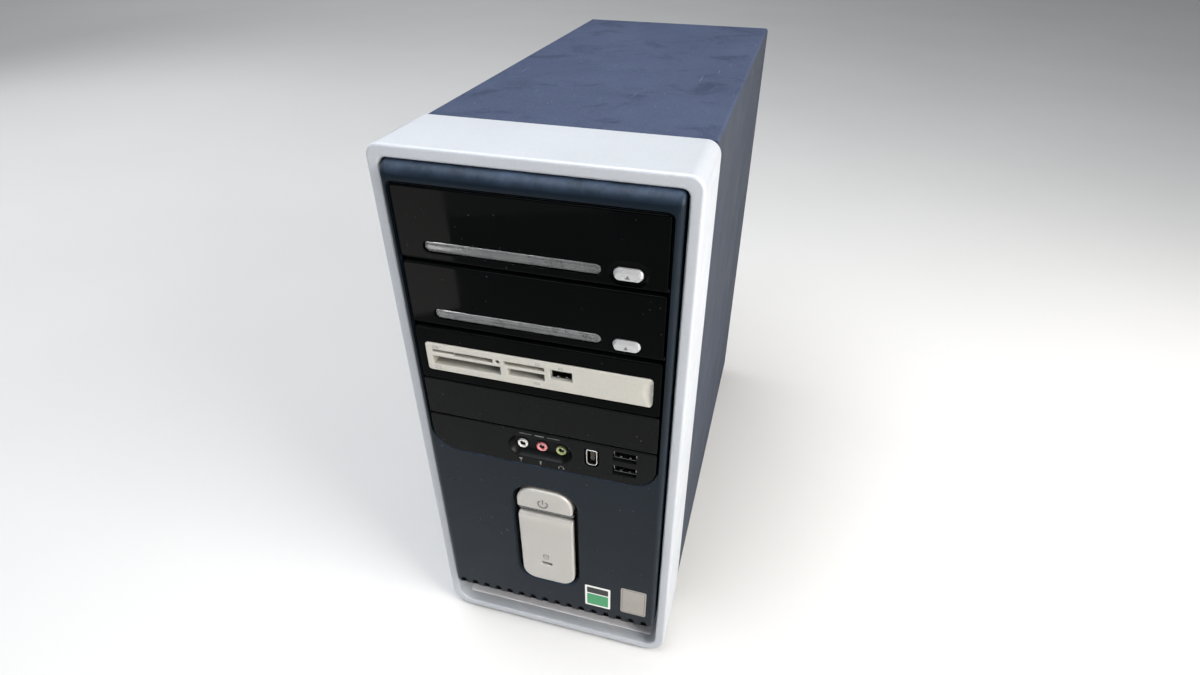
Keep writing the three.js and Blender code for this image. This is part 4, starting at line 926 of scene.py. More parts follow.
# ================================================== front: power button and badge
def button_group():
    m = M()
    hz = rrect(-27, 27, 62.6, 168, 6, 5)
    pill = rrect(-22.9, 22.5, 67.0, 163.5, [14, 14, 15.5, 15.5], 10)
    cup = [(offset(pill, 0.0), -1.2), (pill, 9.0)]
    # cup: open at the front, closed behind
    m.solid([(offset(hz, -0.4), -1.2), (hz, -0.8), (hz, 11.6), (offset(hz, -0.4), 12)], [], BLACK, caps=(False, True))
    to = TO3["d"]
    m.solid([(pill, -1.2), (offset(pill, -0.3), 8.6), (offset(pill, -0.9), 9.0)], [], BLACK_DEEP, caps=(False, True))
    verts = [to(a, b, -1.2) for a, b in offset(hz, -0.4)] + [to(a, b, -1.2) for a, b in pill]
    flat = tessellate_polygon([[Vector(v) for v in verts[:len(hz)]], [Vector(v) for v in verts[len(hz):]]])
    m.put(verts, [tuple(t) for t in flat], BLACK)
    m.box(-21, 21, 1.2, 9.6, 139.6, 141.4, BLACK, 0.2)
    # round bar between the button and the badge
    m.lathe([(0, -20.0), (2.3, -20.0), (2.9, -19.3), (2.9, 18.9), (2.3, 19.6), (0, 19.6)], SMOKE, (-0.4, 140.5), "x", 40)
    m.build("button_cup", CH, "button_housing")
    m = M(0.18)
    B = lambda i, t, b: rrect(-20 + i, 19.6 - i, 144.2 + b, 162.2 - t, [max(0.3, 1.0 - i * 0.5), max(0.3, 1.0 - i * 0.5), 12.5 - i, 12.5 - i], 10)
    rings = [(B(1.25, 1.5, 0.5), -5.85), (B(0.95, 1.1, 0.35), -5.78), (B(0.6, 0.65, 0.2), -5.5), (B(0.3, 0.3, 0.08), -5.1), (B(0.08, 0.08, 0.0), -4.6), (B(0, 0, 0), -4.1), (B(0, 0, 0), 1.2), (B(0.2, 0.2, 0.2), 1.4)]
    m.solid(rings, [], BUTTON)
    m.rod((-0.2, 152), 3, 1.3, 6.5, BUTTON, "d", 20, 0.4)
    for x in (-15, 15):
        m.rod((x, 150), 1.5, 1.3, 5.5, BUTTON, "d", 16, 0.3)
    # raised power symbol, dark grey as painted shade for its embossed outline
    cx, cz, r = -0.9, 150.2, 3.3
    arc = [(cx + r * math.sin(a), -5.9, cz + r * math.cos(a)) for a in [math.radians(38 + (322 - 38) * k / 22) for k in range(23)]]
    m.tube(arc, 0.40, SYMBOL_PAINTED_SHADE, 8)
    m.tube([(cx, -5.9, cz + 0.4), (cx, -5.9, cz + 2.2), (cx, -5.9, cz + 4.3)], 0.40, SYMBOL_PAINTED_SHADE, 8)
    m.build("power_key", "power_button", "power_button")
    m = M(0.18)
    slot = stadium(-5.6, 3.4, 86.3, 89.3, 8)
    G = lambda i, t: rrect(-20 + i, 19.6 - i, 68.2 + i, 136.8 - t, [10.5 - i, 10.5 - i, 1.4, 1.4], 10)
    rings = []
    for d, i, t in ((-5.9, 1.3, 6.2), (-5.86, 1.05, 5.2), (-5.7, 0.7, 3.9), (-5.35, 0.4, 2.7), (-4.9, 0.16, 1.7), (-4.3, 0.02, 0.95), (-3.5, 0, 0.42), (-2.6, 0, 0.1), (-1.6, 0, 0), (-1.1, 0.1, 0.1)):
        rings.append((G(i, t), d))
    sr = [(offset(slot, 0.5), -5.9), (offset(slot, 0.15), -5.8), (slot, -5.4), (slot, -1.1)]
    m.solid(rings, [sr], BUTTON)
    m.box(-14, 14, -1.2, 8.9, 76, 82, BUTTON, 0.5)
    m.box(-14, 14, -1.2, 8.9, 112, 124, BUTTON, 0.5)
    # engraved drive pictogram: a small drum outline
    cx, cz = -1.2, 95.5
    ell = [(cx + 1.9 * math.cos(2 * math.pi * k / 24), -5.9, cz + 1.5 + 0.75 * math.sin(2 * math.pi * k / 24)) for k in range(24)]
    m.tube(ell, 0.16, PRINT_DARK, 6, closed=True)
    low = [(cx + 1.9 * math.cos(math.pi + math.pi * k / 12), -5.9, cz - 1.5 + 0.75 * math.sin(math.pi + math.pi * k / 12)) for k in range(13)]
    m.tube([(cx - 1.9, -5.9, cz + 1.5)] + low + [(cx + 1.9, -5.9, cz + 1.5)], 0.16, PRINT_DARK, 6)
    m.build("badge_face", CH, "badge_plate")
    m = M()
    m.plate(stadium(-5.2, 3.0, 86.8, 88.8, 8), -4.6, 6, SMOKE, (), 0.4, 3)
    m.build("drive_light", CH, "activity_light")


button_group()

# two small plain stickers
m = M()
m.plate(rrect(27.4, 46.6, ZB + 47.6, ZB + 70.8, 0.8, 4), -5.14, -4.98, LABEL, (), 0.04, 1)
m.build("sticker_white", CH, ())
m = M()
m.plate(rrect(29.0, 45.0, ZB + 49.4, ZB + 61.5, 0.5, 3), -5.19, -5.1, GREEN_P, (), 0.02, 1)
m.plate(rrect(29.0, 45.0, ZB + 62.7, ZB + 69.0, 0.5, 3), -5.19, -5.1, BLACK, (), 0.02, 1)
m.build("sticker_white_print", CH, ())
m = M()
m.plate(rrect(54.4, 73.2, ZB + 48.8, ZB + 76.8, 1.6, 4), -5.14, -4.98, STICKER, (), 0.04, 1)
m.loop([(rrect(55.4, 72.2, ZB + 49.8, ZB + 75.8, 1.0, 4), -5.17), (rrect(55.4, 72.2, ZB + 49.8, ZB + 75.8, 1.0, 4), -5.1), (rrect(55.7, 71.9, ZB + 50.1, ZB + 75.5, 0.8, 4), -5.1), (rrect(55.7, 71.9, ZB + 50.1, ZB + 75.5, 0.8, 4), -5.17)], PRINT_DARK)
m.build("sticker_grey", CH, ())


# ==================================================== materials of the inside
def board_material(name, base, dark, trace):
    """Solder mask with runs of tracks, vias and a slight sheen."""
    k = NB(name)
    wv = k.t.nodes.new("ShaderNodeTexVoronoi")
    wv.feature = "DISTANCE_TO_EDGE"
    wv.inputs["Scale"].default_value = 130
    k.link(k.mapped((1, 1, 0.25)), wv.inputs["Vector"])
    wh = k.t.nodes.new("ShaderNodeTexVoronoi")
    wh.feature = "DISTANCE_TO_EDGE"
    wh.inputs["Scale"].default_value = 110
    k.link(k.mapped((1, 0.22, 1)), wh.inputs["Vector"])
    lines = k.math("LESS_THAN", wv.outputs["Distance"], 0.05)
    lines2 = k.math("LESS_THAN", wh.outputs["Distance"], 0.05)
    amt = k.math("MULTIPLY", k.math("MAXIMUM", lines, lines2), k.ramp(k.noise(40, 3), 0.4, 0.6, 0.15, 0.9))
    col = k.mix(k.ramp(k.noise(24, 4), 0.3, 0.7), dark, base)
    col = k.mix(amt, col, trace)
    via = k.math("LESS_THAN", k.voronoi(260), 0.11)
    col = k.mix(k.math("MULTIPLY", via, 0.7), col, (0.45, 0.45, 0.38))
    k.link(col, k.b.inputs["Base Color"])
    k.link(k.ramp(k.noise(300, 3), 0.3, 0.7, 0.26, 0.42), k.b.inputs["Roughness"])
    bp = k.t.nodes.new("ShaderNodeBump")
    bp.inputs["Strength"].default_value = 0.15
    bp.inputs["Distance"].default_value = 0.0002
    k.link(amt, bp.inputs["Height"])
    k.link(bp.outputs["Normal"], k.b.inputs["Normal"])
    return k.m


def sleeve_material(name, a, b):
    """Woven sleeve: two crossing wave sets."""
    k = NB(name)
    outs = []
    for rot in ((0.8, 0.3, 0.6), (-0.8, 0.3, -0.6)):
        w = k.t.nodes.new("ShaderNodeTexWave")
        w.inputs["Scale"].default_value = 420
        k.link(k.mapped((1, 1, 1), rot), w.inputs["Vector"])
        outs.append(w.outputs["Fac"])
    f = k.math("MULTIPLY", outs[0], outs[1])
    k.link(k.mix(f, a, b), k.b.inputs["Base Color"])
    k.link(k.ramp(k.noise(90, 3), 0.3, 0.7, 0.5, 0.7), k.b.inputs["Roughness"])
    bp = k.t.nodes.new("ShaderNodeBump")
    bp.inputs["Strength"].default_value = 0.6
    bp.inputs["Distance"].default_value = 0.0004
    k.link(f, bp.inputs["Height"])
    k.link(bp.outputs["Normal"], k.b.inputs["Normal"])
    return k.m


PCB = board_material("mainboard_green", (0.030, 0.150, 0.055), (0.018, 0.105, 0.038), (0.055, 0.235, 0.095))
PCB2 = board_material("card_green", (0.035, 0.170, 0.070), (0.022, 0.120, 0.045), (0.070, 0.260, 0.110))
SLEEVE = sleeve_material("woven_sleeve", (0.006, 0.006, 0.007), (0.045, 0.045, 0.048))
CHIP = surface("chip_package", (0.020, 0.020, 0.022), 0.5, grain=0.3, grain_scale=3000, var=0.15, dust_and_sheen=0.15, dust_and_sheen_color=(0.14, 0.14, 0.13))
SOLDER = surface("solder_tin", (0.66, 0.66, 0.65), 0.30, 1.0, var=0.08)
RIBBON = surface("ribbon_grey", (0.36, 0.37, 0.385), 0.48, var=0.05, grain=0.15, dust_and_sheen=0.1)
CABLE_Y = surface("wire_yellow", (0.72, 0.55, 0.05), 0.42, var=0.06)
CABLE_R = surface("wire_red", (0.50, 0.03, 0.02), 0.42, var=0.06)
CABLE_K = surface("wire_black", (0.012, 0.012, 0.013), 0.42, var=0.10)
CABLE_B = surface("wire_blue", (0.04, 0.12, 0.45), 0.42, var=0.06)
CABLE_G = surface("wire_green", (0.03, 0.28, 0.09), 0.42, var=0.06)
DISC_BAY = surface("tray_black", (0.030, 0.031, 0.033), 0.42, grain=0.3, grain_scale=2400, var=0.10, dust_and_sheen=0.12, dust_and_sheen_color=(0.2, 0.2, 0.2))
CAP = surface("capacitor_sleeve", (0.020, 0.035, 0.075), 0.35, var=0.08)
COPPER = surface("copper_coil", (0.60, 0.27, 0.12), 0.32, 1.0, var=0.08)


# ====================================================================== steel case
def cover():
    m = M()
    t, R = 1.2, 2.4
    x0, x1, zt, zb = -80.3, 86.4, 385.4, 10.0
    out, inn = [], []
    for i in range(7):
        a = 0.5 * math.pi * i / 6
        out.append((x1 - R + R * math.cos(a), zt - R + R * math.sin(a)))
        inn.append((x1 - R + (R - t) * math.cos(a), zt - R + (R - t) * math.sin(a)))
    # anticlockwise: up the outside of the right side, over the top, back along the inside
    pts = [(x1 - 0.35, zb), (x1, zb + 0.35)] + out + [(x0 + 0.35, zt), (x0, zt - 0.35), (x0, zt - t + 0.3), (x0 + 0.3, zt - t)] + inn[::-1] + [(x1 - t, zb + 0.35), (x1 - t + 0.35, zb)]
    rings = [(offset(pts, -0.28), 54.4), (offset(pts, -0.08), 54.5), (pts, 54.7), (pts, 387.3), (offset(pts, -0.08), 387.5), (offset(pts, -0.28), 387.6)]
    m.solid(rings, [], PAINT)
    # folded stiffener inside the lower edge
    m.box(83.0, 85.3, 62, 380, 12.5, 14.0, PAINT_IN, 0.4)
    return m.build("cover_shell", CH, "outer_cover", angle=45)


cover()


def side():
    m = M()
    hs = [rrect(270, 330, 176 + i * 14, 182 + i * 14, 2.9, 6) for i in range(6)]
    m.plate(rrect(54.6, 389.2, 11, 383.9, 1.6, 4), -80.3, -79.1, PAINT, hs, 0.38, 3, "x")
    m.box(-80.2, -75.6, 58, 388, 382.7, 383.9, PAINT, 0.35)
    m.box(-80.2, -75.6, 58, 388, 11.0, 12.2, PAINT, 0.35)
    m.box(-80.2, -79.0, 54.7, 56.2, 14, 381, PAINT, 0.3)
    fl = rrect(-80.2, -66, 40, 296, 3, 5)
    m.plate(fl, 388.0, 389.2, PAINT, [circle(-73.6, 75, 2.5, 20), circle(-73.6, 278, 2.5, 20)], 0.35, 2)
    # pressed stiffening beads on the inner face
    for z in (90, 140, 300, 345):
        m.box(-79.3, -78.5, 80, 365, z, z + 6, PAINT, 0.38)
    return m.build("side_panel_shell", "side_panel", "side_panel", angle=45)


side()

# chassis floor with pressed ribs, slots and a turned-up flange
m = M()
m.plate(rrect(-75.2, 84.9, 56, 387.6, 1.5, 3), 10, 11.2, ZINC,
        [rrect(-40, 40, 70, 110, 4, 5)] + [rrect(-50 + i * 22, -36 + i * 22, 230, 300, 3, 4) for i in range(5)] + [circle(x, d, 2.2, 16) for x in (-60, 70) for d in (150, 340)], 0.35, 2, "z")
m.box(-75.2, -74.0, 58, 385, 10.2, 20, ZINC, 0.35)
for d in (124, 200, 322):
    m.box(-58, 76, d, d + 6, 11.0, 12.2, ZINC, 0.55)
for d in (70, 130, 190, 250, 310, 370):
    m.rod((-66, d), 2.3, 11.1, 11.7, ZINC, "z", 16, 0.4)
m.build("floor_pan", CH, "chassis_floor")

# front plate behind the bezel
m = M()
holes = [rrect(-74.4, 74.4, ZB + 212, ZB + 366.5, 2, 4), rrect(-34, 68, 186, 210.5, 2, 4), rrect(-22, 22, 120, 160, 3, 4)]
holes += [rrect(-58, 58, 30 + i * 16, 39 + i * 16, 4.4, 5) for i in range(5)]
m.plate(rrect(-75.1, 76.2, 11.5, 383.9, 1, 3), 56, 57.2, ZINC, holes, 0.35, 2)
for z0, z1 in ((13, 118.6), (131.4, 260.6), (273.4, 382)):
    m.box(-78.6, -74.7, 56, 57.2, z0, z1, ZINC, 0.3)
    m.box(75.8, 84.9, 56, 57.2, z0, z1, ZINC, 0.3)
for z in (112, 178):
    m.box(-56, 56, 57.0, 58.2, z, z + 4, ZINC, 0.5)
m.build("front_plate_sheet", CH, "chassis_front_plate")


def rear_panel():
    m = M()
    hs = [rrect(-70, 73, 301, 379, 2.5, 4), rrect(36, 80, 127, 284, 1.5, 4), rrect(-8, 70, 112, 124, 0.8, 3)]
    # round perforations in rings over the fan
    for ring_r, count in ((0, 1), (6.4, 6), (12.8, 12), (19.2, 18), (25.6, 24), (32.0, 30), (38.2, 36)):
        for i in range(count):
            a = 2 * math.pi * (i + 0.5 * (count % 12 == 0)) / count
            hs.append(circle(-22 + ring_r * math.cos(a), 215 + ring_r * math.sin(a), 2.35, 12))
    hs += [circle(-73.6, z, 2.3, 16) for z in (75, 278)]
    hs += [circle(-22 + sx * 41, 215 + sz * 41, 2.2, 14) for sx in (-1, 1) for sz in (-1, 1)]
    hs += [rrect(-58 + i * 11, -51 + i * 11, 20, 32, 3, 4) for i in range(12)]
    m.plate(rrect(-75.0, 84.9, 11.5, 383.9, 1, 3), 386.4, 387.6, ZINC, hs, 0.3, 2)
    for z0, z1 in ((13, 381),):
        m.box(-78.6, -75.05, 386.4, 387.6, z0, z1, ZINC, 0.3)
    # slot covers: a bracket each, with a bead and a screw
    for i in range(3):
        z = 54 + i * 20
        m.plate(rrect(-6, 68, z, z + 10, 1.2, 4), 387.4, 388.25, TIN, [], 0.3, 2)
        m.plate(rrect(2, 60, z + 3, z + 7, 1.9, 4), 387.9, 388.75, TIN, [], 0.4, 3)
        screw(m, (73.5, z + 5), 387.5, 1)
    screw(m, (73.5, 118), 387.5, 1)
    for x, z in ((-72, 306), (79, 306), (-72, 374), (79, 374), (79, 294), (-30, 294)):
        screw(m, (x, z), 387.5, 1)
    for sx in (-1, 1):
        for sz in (-1, 1):
            screw(m, (-22 + sx * 41, 215 + sz * 41), 387.5, 1)
    # stamped step around the fan
    m.ringlathe([(47.0, 387.5), (46.4, 388.1), (45.2, 388.25), (44.0, 388.1), (43.4, 387.5)], ZINC, (-22, 215), "d", 64)
    return m.build("rear_sheet", CH, "chassis_rear_panel", angle=42)


def screw(m, c, w, s=1, axis="d", r=3.6, mat=None):
    """Pan-head screw with a cross recess; s is the way it faces along the axis."""
    mat = mat or CHROME
    m.lathe([(0, w - s * 0.3), (r, w - s * 0.3), (r, w + s * 0.5), (r * 0.93, w + s * 1.2), (r * 0.7, w + s * 1.75), (r * 0.45, w + s * 1.95), (r * 0.42, w + s * 1.2), (0, w + s * 1.1)], mat, c, axis, 20)
    for a in (0.3, 0.3 + math.pi / 2):
        dx, dz = math.cos(a), math.sin(a)
        px, pz = -dz, dx
        L, wd = r * 0.62, r * 0.13
        pts = [(c[0] + dx * L * u + px * wd * v_, c[1] + dz * L * u + pz * wd * v_) for u, v_ in ((-1, -1), (1, -1), (1, 1), (-1, 1))]
        m.solid([(pts, w + s * 1.3), (pts, w + s * 1.98)], [], BLACK_DEEP, axis)


rear_panel()

m = M()
m.plate(rrect(57.5, 386.1, 11.5, 383.9, 1, 3), 83.4, 84.6, ZINC,
        [rrect(80, 130, 60, 200, 4, 5), rrect(150, 250, 292, 330, 4, 5)] + [circle(d, z, 2.4, 16) for d in (66, 72, 140) for z in (230, 260, 345)], 0.35, 2, "x")
for z in (100, 170, 240):
    m.box(82.7, 83.6, 150, 372, z, z + 5, ZINC, 0.4)
for d in (150, 262, 376):
    for z in (52, 276):
        m.lathe([(0, 83.5), (3.0, 83.5), (3.0, 77.9), (2.7, 77.5), (0, 77.5)], GOLD, (d, z), "x", 6)
m.build("board_tray_sheet", CH, "mainboard_tray")

for name, x, d in (("foot_front_left", -56, 84), ("foot_front_right", 68, 84), ("foot_rear_left", -56, 364), ("foot_rear_right", 68, 364)):
    m = M()
    m.lathe([(0, 1.2), (3.4, 1.2), (3.4, 0.35), (4.0, 0.1), (6.4, 0.1), (6.6, 0.0), (8.2, 0.0), (8.7, 0.25), (9.0, 0.8), (9.6, 3.6), (9.75, 3.8), (9.7, 4.1), (9.95, 4.6), (10.9, 9.2), (10.8, 9.8), (10.4, 9.95), (0, 9.95)], RUBBER, (x, d), "z", 40)
    m.rod((x, d), 2.6, 1.1, 1.9, CHROME, "z", 20, 0.3)
    m.build(name + "_pad", CH, name)

for name, z in (("side_thumbscrew_lower", 75), ("side_thumbscrew_upper", 278)):
    m = M()
    n = 30
    def knurl(r, k=0.28):
        return [(-73.6 + (r + (k if i % 2 else 0)) * math.cos(math.pi * i / n), z + (r + (k if i % 2 else 0)) * math.sin(math.pi * i / n)) for i in range(2 * n)]
    rings = [(circle(-73.6, z, 5.4, 2 * n), 389.45), (knurl(5.8, 0.0), 389.6), (knurl(6.05), 390.0), (knurl(6.05), 393.3), (knurl(5.8, 0), 393.8), (circle(-73.6, z, 5.2, 2 * n), 394.1),
             (circle(-73.6, z, 4.9, 2 * n), 393.9), (circle(-73.6, z, 3.0, 2 * n), 393.9), (circle(-73.6, z, 2.6, 2 * n), 394.5), (circle(-73.6, z, 2.1, 2 * n), 394.9)]
    c = M()
    c.box(-80, -67, 393.2, 397, z - 0.55, z + 0.55, CHROME, 0.05)
    m.solid(rings, [], CHROME)
    shank = [(0, 389.6), (1.9, 389.6)]
    w = 389.0
    while w > 381.4:
        shank += [(1.55, w), (1.9, w - 0.4)]
        w -= 0.8
    shank += [(1.2, 380.6), (0, 380.5)]
    m.lathe(shank, CHROME, (-73.6, z), "d", 20)
    m.build(name + "_screw", name, name, cut=c)


def cage():
    m = M()
    zt, zb = 371.2, 213.1
    win = [rrect(80, 118, z - 9, z + 9, 3, 4) for z in (300, 342)] + [rrect(66, 72, z - 2, z + 2, 1.9, 4) for z in (236, 300, 342)] + [rrect(126, 132, z - 2, z + 2, 1.9, 4) for z in (236, 300, 342)]
    for x0, x1 in ((-76, -74.6), (74.6, 76)):
        m.plate(rrect(57.5, 138, zb, zt, 1, 3), x0, x1, ZINC, win, 0.35, 2, "x")
    m.box(-75.4, 75.4, 57.5, 138, zt - 1.3, zt, ZINC, 0.35)
    m.plate(rrect(-75.4, 75.4, 57.5, 138, 1, 3), zb, zb + 1.3, ZINC, [rrect(-60 + i * 42, -26 + i * 42, 76, 120, 4, 5) for i in range(3)], 0.35, 2, "z")
    # drive rails
    for z in (323.4 + ZB - 1.2, 281.2 + ZB - 1.2):
        for x0, x1 in ((-74.7, -73.4), (73.4, 74.7)):
            m.box(x0, x1, 60, 136, z - 0.4, z + 0.7, ZINC, 0.3)
    # hard drive hanger
    hw = [rrect(80, 120, 165, 200, 3, 5), circle(66, 157, 2, 14), circle(132, 157, 2, 14)]
    for x0, x1 in ((-74.4, -73.2), (30.8, 32)):
        m.plate(rrect(57.5, 142, 147, 213.2, 1, 3), x0, x1, ZINC, hw, 0.35, 2, "x")
    m.plate(rrect(-74.2, 31.8, 57.5, 142, 1, 3), 147, 148.2, ZINC, [rrect(-60, -28, 75, 120, 4, 5), rrect(-14, 18, 75, 120, 4, 5)], 0.35, 2, "z")
    for d in (72, 126):
        screw(m, (d, 176), -74.4, -1, "x", 2.6)
        for z in (300, 342):
            pass
    return m.build("cage_sheet", CH, "drive_cage")


cage()


# ============================================================ optical drives
def optical(tag, z0, z1):
    bottom = z0 + (z1 - z0 - 39.2) * 0.5
    top = bottom + 39.2
    m = M()
    # wrapped sheet body, open at the front
    o = rrect(-73, 73, bottom, top, 1.4, 4)
    i = rrect(-71.8, 71.8, bottom + 1.2, top - 1.2, 0.5, 4)
    m.loop([(offset(o, -0.25), 8), (o, 8.3), (o, 184.5), (offset(o, -0.8), 185.9), (offset(i, -2.0), 186), (offset(i, -2.0), 168), (i, 168), (i, 8.3), (offset(i, 0.25), 8)], TIN)
    m.plate(offset(i, -1.8), 168.5, 185.7, TIN, [rrect(-60, -12, bottom + 6, bottom + 15, 0.6, 3), rrect(30, 54, bottom + 6, bottom + 14, 0.6, 3)], 0.2, 1)
    # stamped rectangles on the lid and side screws
    m.plate(rrect(-62, 62, 28, 164, 6, 5), top - 0.15, top + 0.35, TIN, [], 0.3, 2, "z")
    m.plate(rrect(-38, 30, 58, 140, 3, 4), top + 0.3, top + 0.42, LABEL, [], 0.05, 1, "z")
    for z in (bottom + 10, bottom + 28):
        for d in (64, 126):
            if abs(d - 99) > 20:
                m.rod((d, z), 1.9, 73.0, 73.6, CHROME, "x", 16, 0.2)
                m.rod((d, z), 1.9, -73.0, -73.6, CHROME, "x", 16, 0.2)
    # ribbon socket with pins, power socket
    m.loop([(rrect(-59.5, -12.5, bottom + 6.4, bottom + 14.6, 0.5, 3), 177), (rrect(-59.5, -12.5, bottom + 6.4, bottom + 14.6, 0.5, 3), 185.9), (rrect(-58.3, -13.7, bottom + 7.4, bottom + 13.6, 0.3, 3), 185.9), (rrect(-58.3, -13.7, bottom + 7.4, bottom + 13.6, 0.3, 3), 177)], BLACK)
    m.box(-59, -13, 176.4, 178, bottom + 6.8, bottom + 14.2, BLACK_DEEP, 0.2)
    for k in range(20):
        for dz in (9.2, 11.8):
            m.box(-50.3 + k * 2.0 - 7.5 - 0.3 + 1.9, -50.3 + k * 2.0 - 7.5 + 0.3 + 1.9, 177.5, 184.6, bottom + dz - 0.3, bottom + dz + 0.3, GOLD, 0.1)
    m.loop([(rrect(31, 53, bottom + 6.6, bottom + 13.4, [0.4, 0.4, 2.2, 2.2], 3), 176), (rrect(31, 53, bottom + 6.6, bottom + 13.4, [0.4, 0.4, 2.2, 2.2], 3), 185.9), (rrect(32, 52, bottom + 7.5, bottom + 12.5, [0.3, 0.3, 1.6, 1.6], 3), 185.9), (rrect(32, 52, bottom + 7.5, bottom + 12.5, [0.3, 0.3, 1.6, 1.6], 3), 176)], IVORY)
    for k in range(4):
        m.rod((34.4 + k * 5.08, bottom + 10), 1.0, 176, 184.4, CHROME, "d", 12, 0.4)
    # motor deck inside, seen with the tray out
    m.box(-66, 66, 24, 160, bottom + 1.1, bottom + 4.2, BLACK, 0.6)
    m.lathe([(0, bottom + 13.6), (8, bottom + 13.6), (9.5, bottom + 13), (14, bottom + 12.6), (15.2, bottom + 11.6), (15.4, bottom + 4), (0, bottom + 4)], CHROME, (0, 78), "z", 40)
    m.box(-9, 9, 100, 118, bottom + 4, bottom + 10.6, BLACK, 0.8)
    m.lathe([(0, bottom + 12.2), (2.2, bottom + 12.2), (3.6, bottom + 11.2), (4, bottom + 10.3), (0, bottom + 10.2)], CLEAR, (0, 109), "z", 24)
    for x in (-24, 24):
        m.tube([(x, 66, bottom + 7), (x, 100, bottom + 7), (x, 134, bottom + 7)], 1.3, CHROME, 10)
    m.build(f"drive_body_{tag}", CH, f"optical_drive_{tag}")

    # tray with its stepped disc recess, spindle slot and side rails
    m = M()
    tz = bottom + 15
    R1, R2, cy = 60.8, 41.0, 78.0
    edge = rrect(-65, 65, 1.4, 150, 3, 5)
    n = 96
    C1, C2 = circle(0, cy, R1, n), circle(0, cy, R2, n)
    slot = rrect(-13.8, 13.8, 60, 139, 9, 8)
    hole2 = []
    m.solid([(offset(edge, -0.5), tz + 9), (offset(edge, -0.15), tz + 8.9), (edge, tz + 8.5), (edge, tz + 0.4), (offset(edge, -0.4), tz)],
            [[(offset(C1, 0.5), tz + 9), (offset(C1, 0.15), tz + 8.9), (C1, tz + 8.6), (C1, tz + 5.0), (offset(C1, -0.4), tz + 4.6), (offset(C2, 4.0), tz + 4.6), (offset(C2, 3.4), tz + 4.5), (C2, tz + 3.2), (offset(C2, -0.6), tz + 2.9),
              (circle(0, cy, 37, n), tz + 2.9), (circle(0, cy, 36.6, n), tz + 2.8), (circle(0, cy, 36.6, n), tz)]], DISC_BAY, "z")
    # floor of the inner recess with the spindle slot
    m.plate(circle(0, cy, 37.2, 64), tz + 0.2, tz + 2.9, DISC_BAY, [rrect(-13.8, 13.8, 60, 108, 9, 8)], 0.2, 2, "z")
    for s in (-1, 1):
        xa, xb = sorted((s * 64.6, s * 70))
        m.box(xa, xb, 30, 150, tz + 1, tz + 4, DISC_BAY, 0.4)
        for d in (48, 96, 132):
            m.box(*sorted((s * 57.5, s * 62.5)), d, d + 6, tz + 8.9, tz + 10.2, DISC_BAY, 0.5)
    # rack teeth under the left rail
    for k in range(30):
        m.box(-68.5, -66.0, 34 + k * 3.8, 35.8 + k * 3.8, tz + 0.2, tz + 1.2, DISC_BAY, 0.2)
    m.build(f"tray_shell_{tag}", f"disc_tray_{tag}", f"disc_tray_{tag}", angle=30)


optical("upper", ZB + 323.4, ZB + 364.8)
optical("lower", ZB + 281.2, ZB + 320.6)

# ================================================================= hard drive
m = M()
body = rrect(-71.6, 29.2, 62, 209, 3, 5)
m.plate(body, 152.2, 172, ALU, [], 0.8, 3, "z")
m.plate(rrect(-70, 27.6, 64, 188, 8, 6), 171.8, 175.4, TIN, [], 0.9, 4, "z")
m.plate(rrect(-66, 23, 70, 150, 14, 8), 175.2, 175.9, TIN, [], 0.4, 3, "z")
m.plate(rrect(-52, 12, 84, 140, 2, 4), 175.85, 175.98, LABEL, [], 0.05, 1, "z")
for x, d in ((-66, 68), (23.5, 68), (-66, 184), (23.5, 184), (-66, 126), (23.5, 126)):
    screw(m, (x, d), 173.9, 1, "z", 2.6)
m.plate(rrect(-69, 26.6, 66, 205, 2, 4), 150, 152.4, PCB2, [], 0.2, 1, "z")
m.loop([(rrect(-50.5, -5.5, 152.6, 162.4, 0.6, 3), 203), (rrect(-50.5, -5.5, 152.6, 162.4, 0.6, 3), 209.2), (rrect(-49.2, -6.8, 153.8, 161.2, 0.4, 3), 209.2), (rrect(-49.2, -6.8, 153.8, 161.2, 0.4, 3), 203)], BLACK)
m.loop([(rrect(3, 25, 152.6, 161.4, [0.4, 0.4, 2, 2], 3), 203), (rrect(3, 25, 152.6, 161.4, [0.4, 0.4, 2, 2], 3), 209.2), (rrect(4.2, 23.8, 153.6, 160.2, [0.3, 0.3, 1.5, 1.5], 3), 209.2), (rrect(4.2, 23.8, 153.6, 160.2, [0.3, 0.3, 1.5, 1.5], 3), 203)], IVORY)
for k in range(4):
    m.rod((6.4 + k * 5.08, 157), 1.0, 203, 208.6, CHROME, "d", 12, 0.4)
for d in (90, 130, 180):
    m.rod((d, 157), 1.7, -71.7, -72.0, CHROME, "x", 16, 0.1)
m.build("hard_drive_body", CH, "hard_drive")


# ============================================================== fans and supply
def turn(pts, c, a):
    ca, sa = math.cos(a), math.sin(a)
    return [(c[0] + p * ca - q * sa, c[1] + p * sa + q * ca) for p, q in pts]


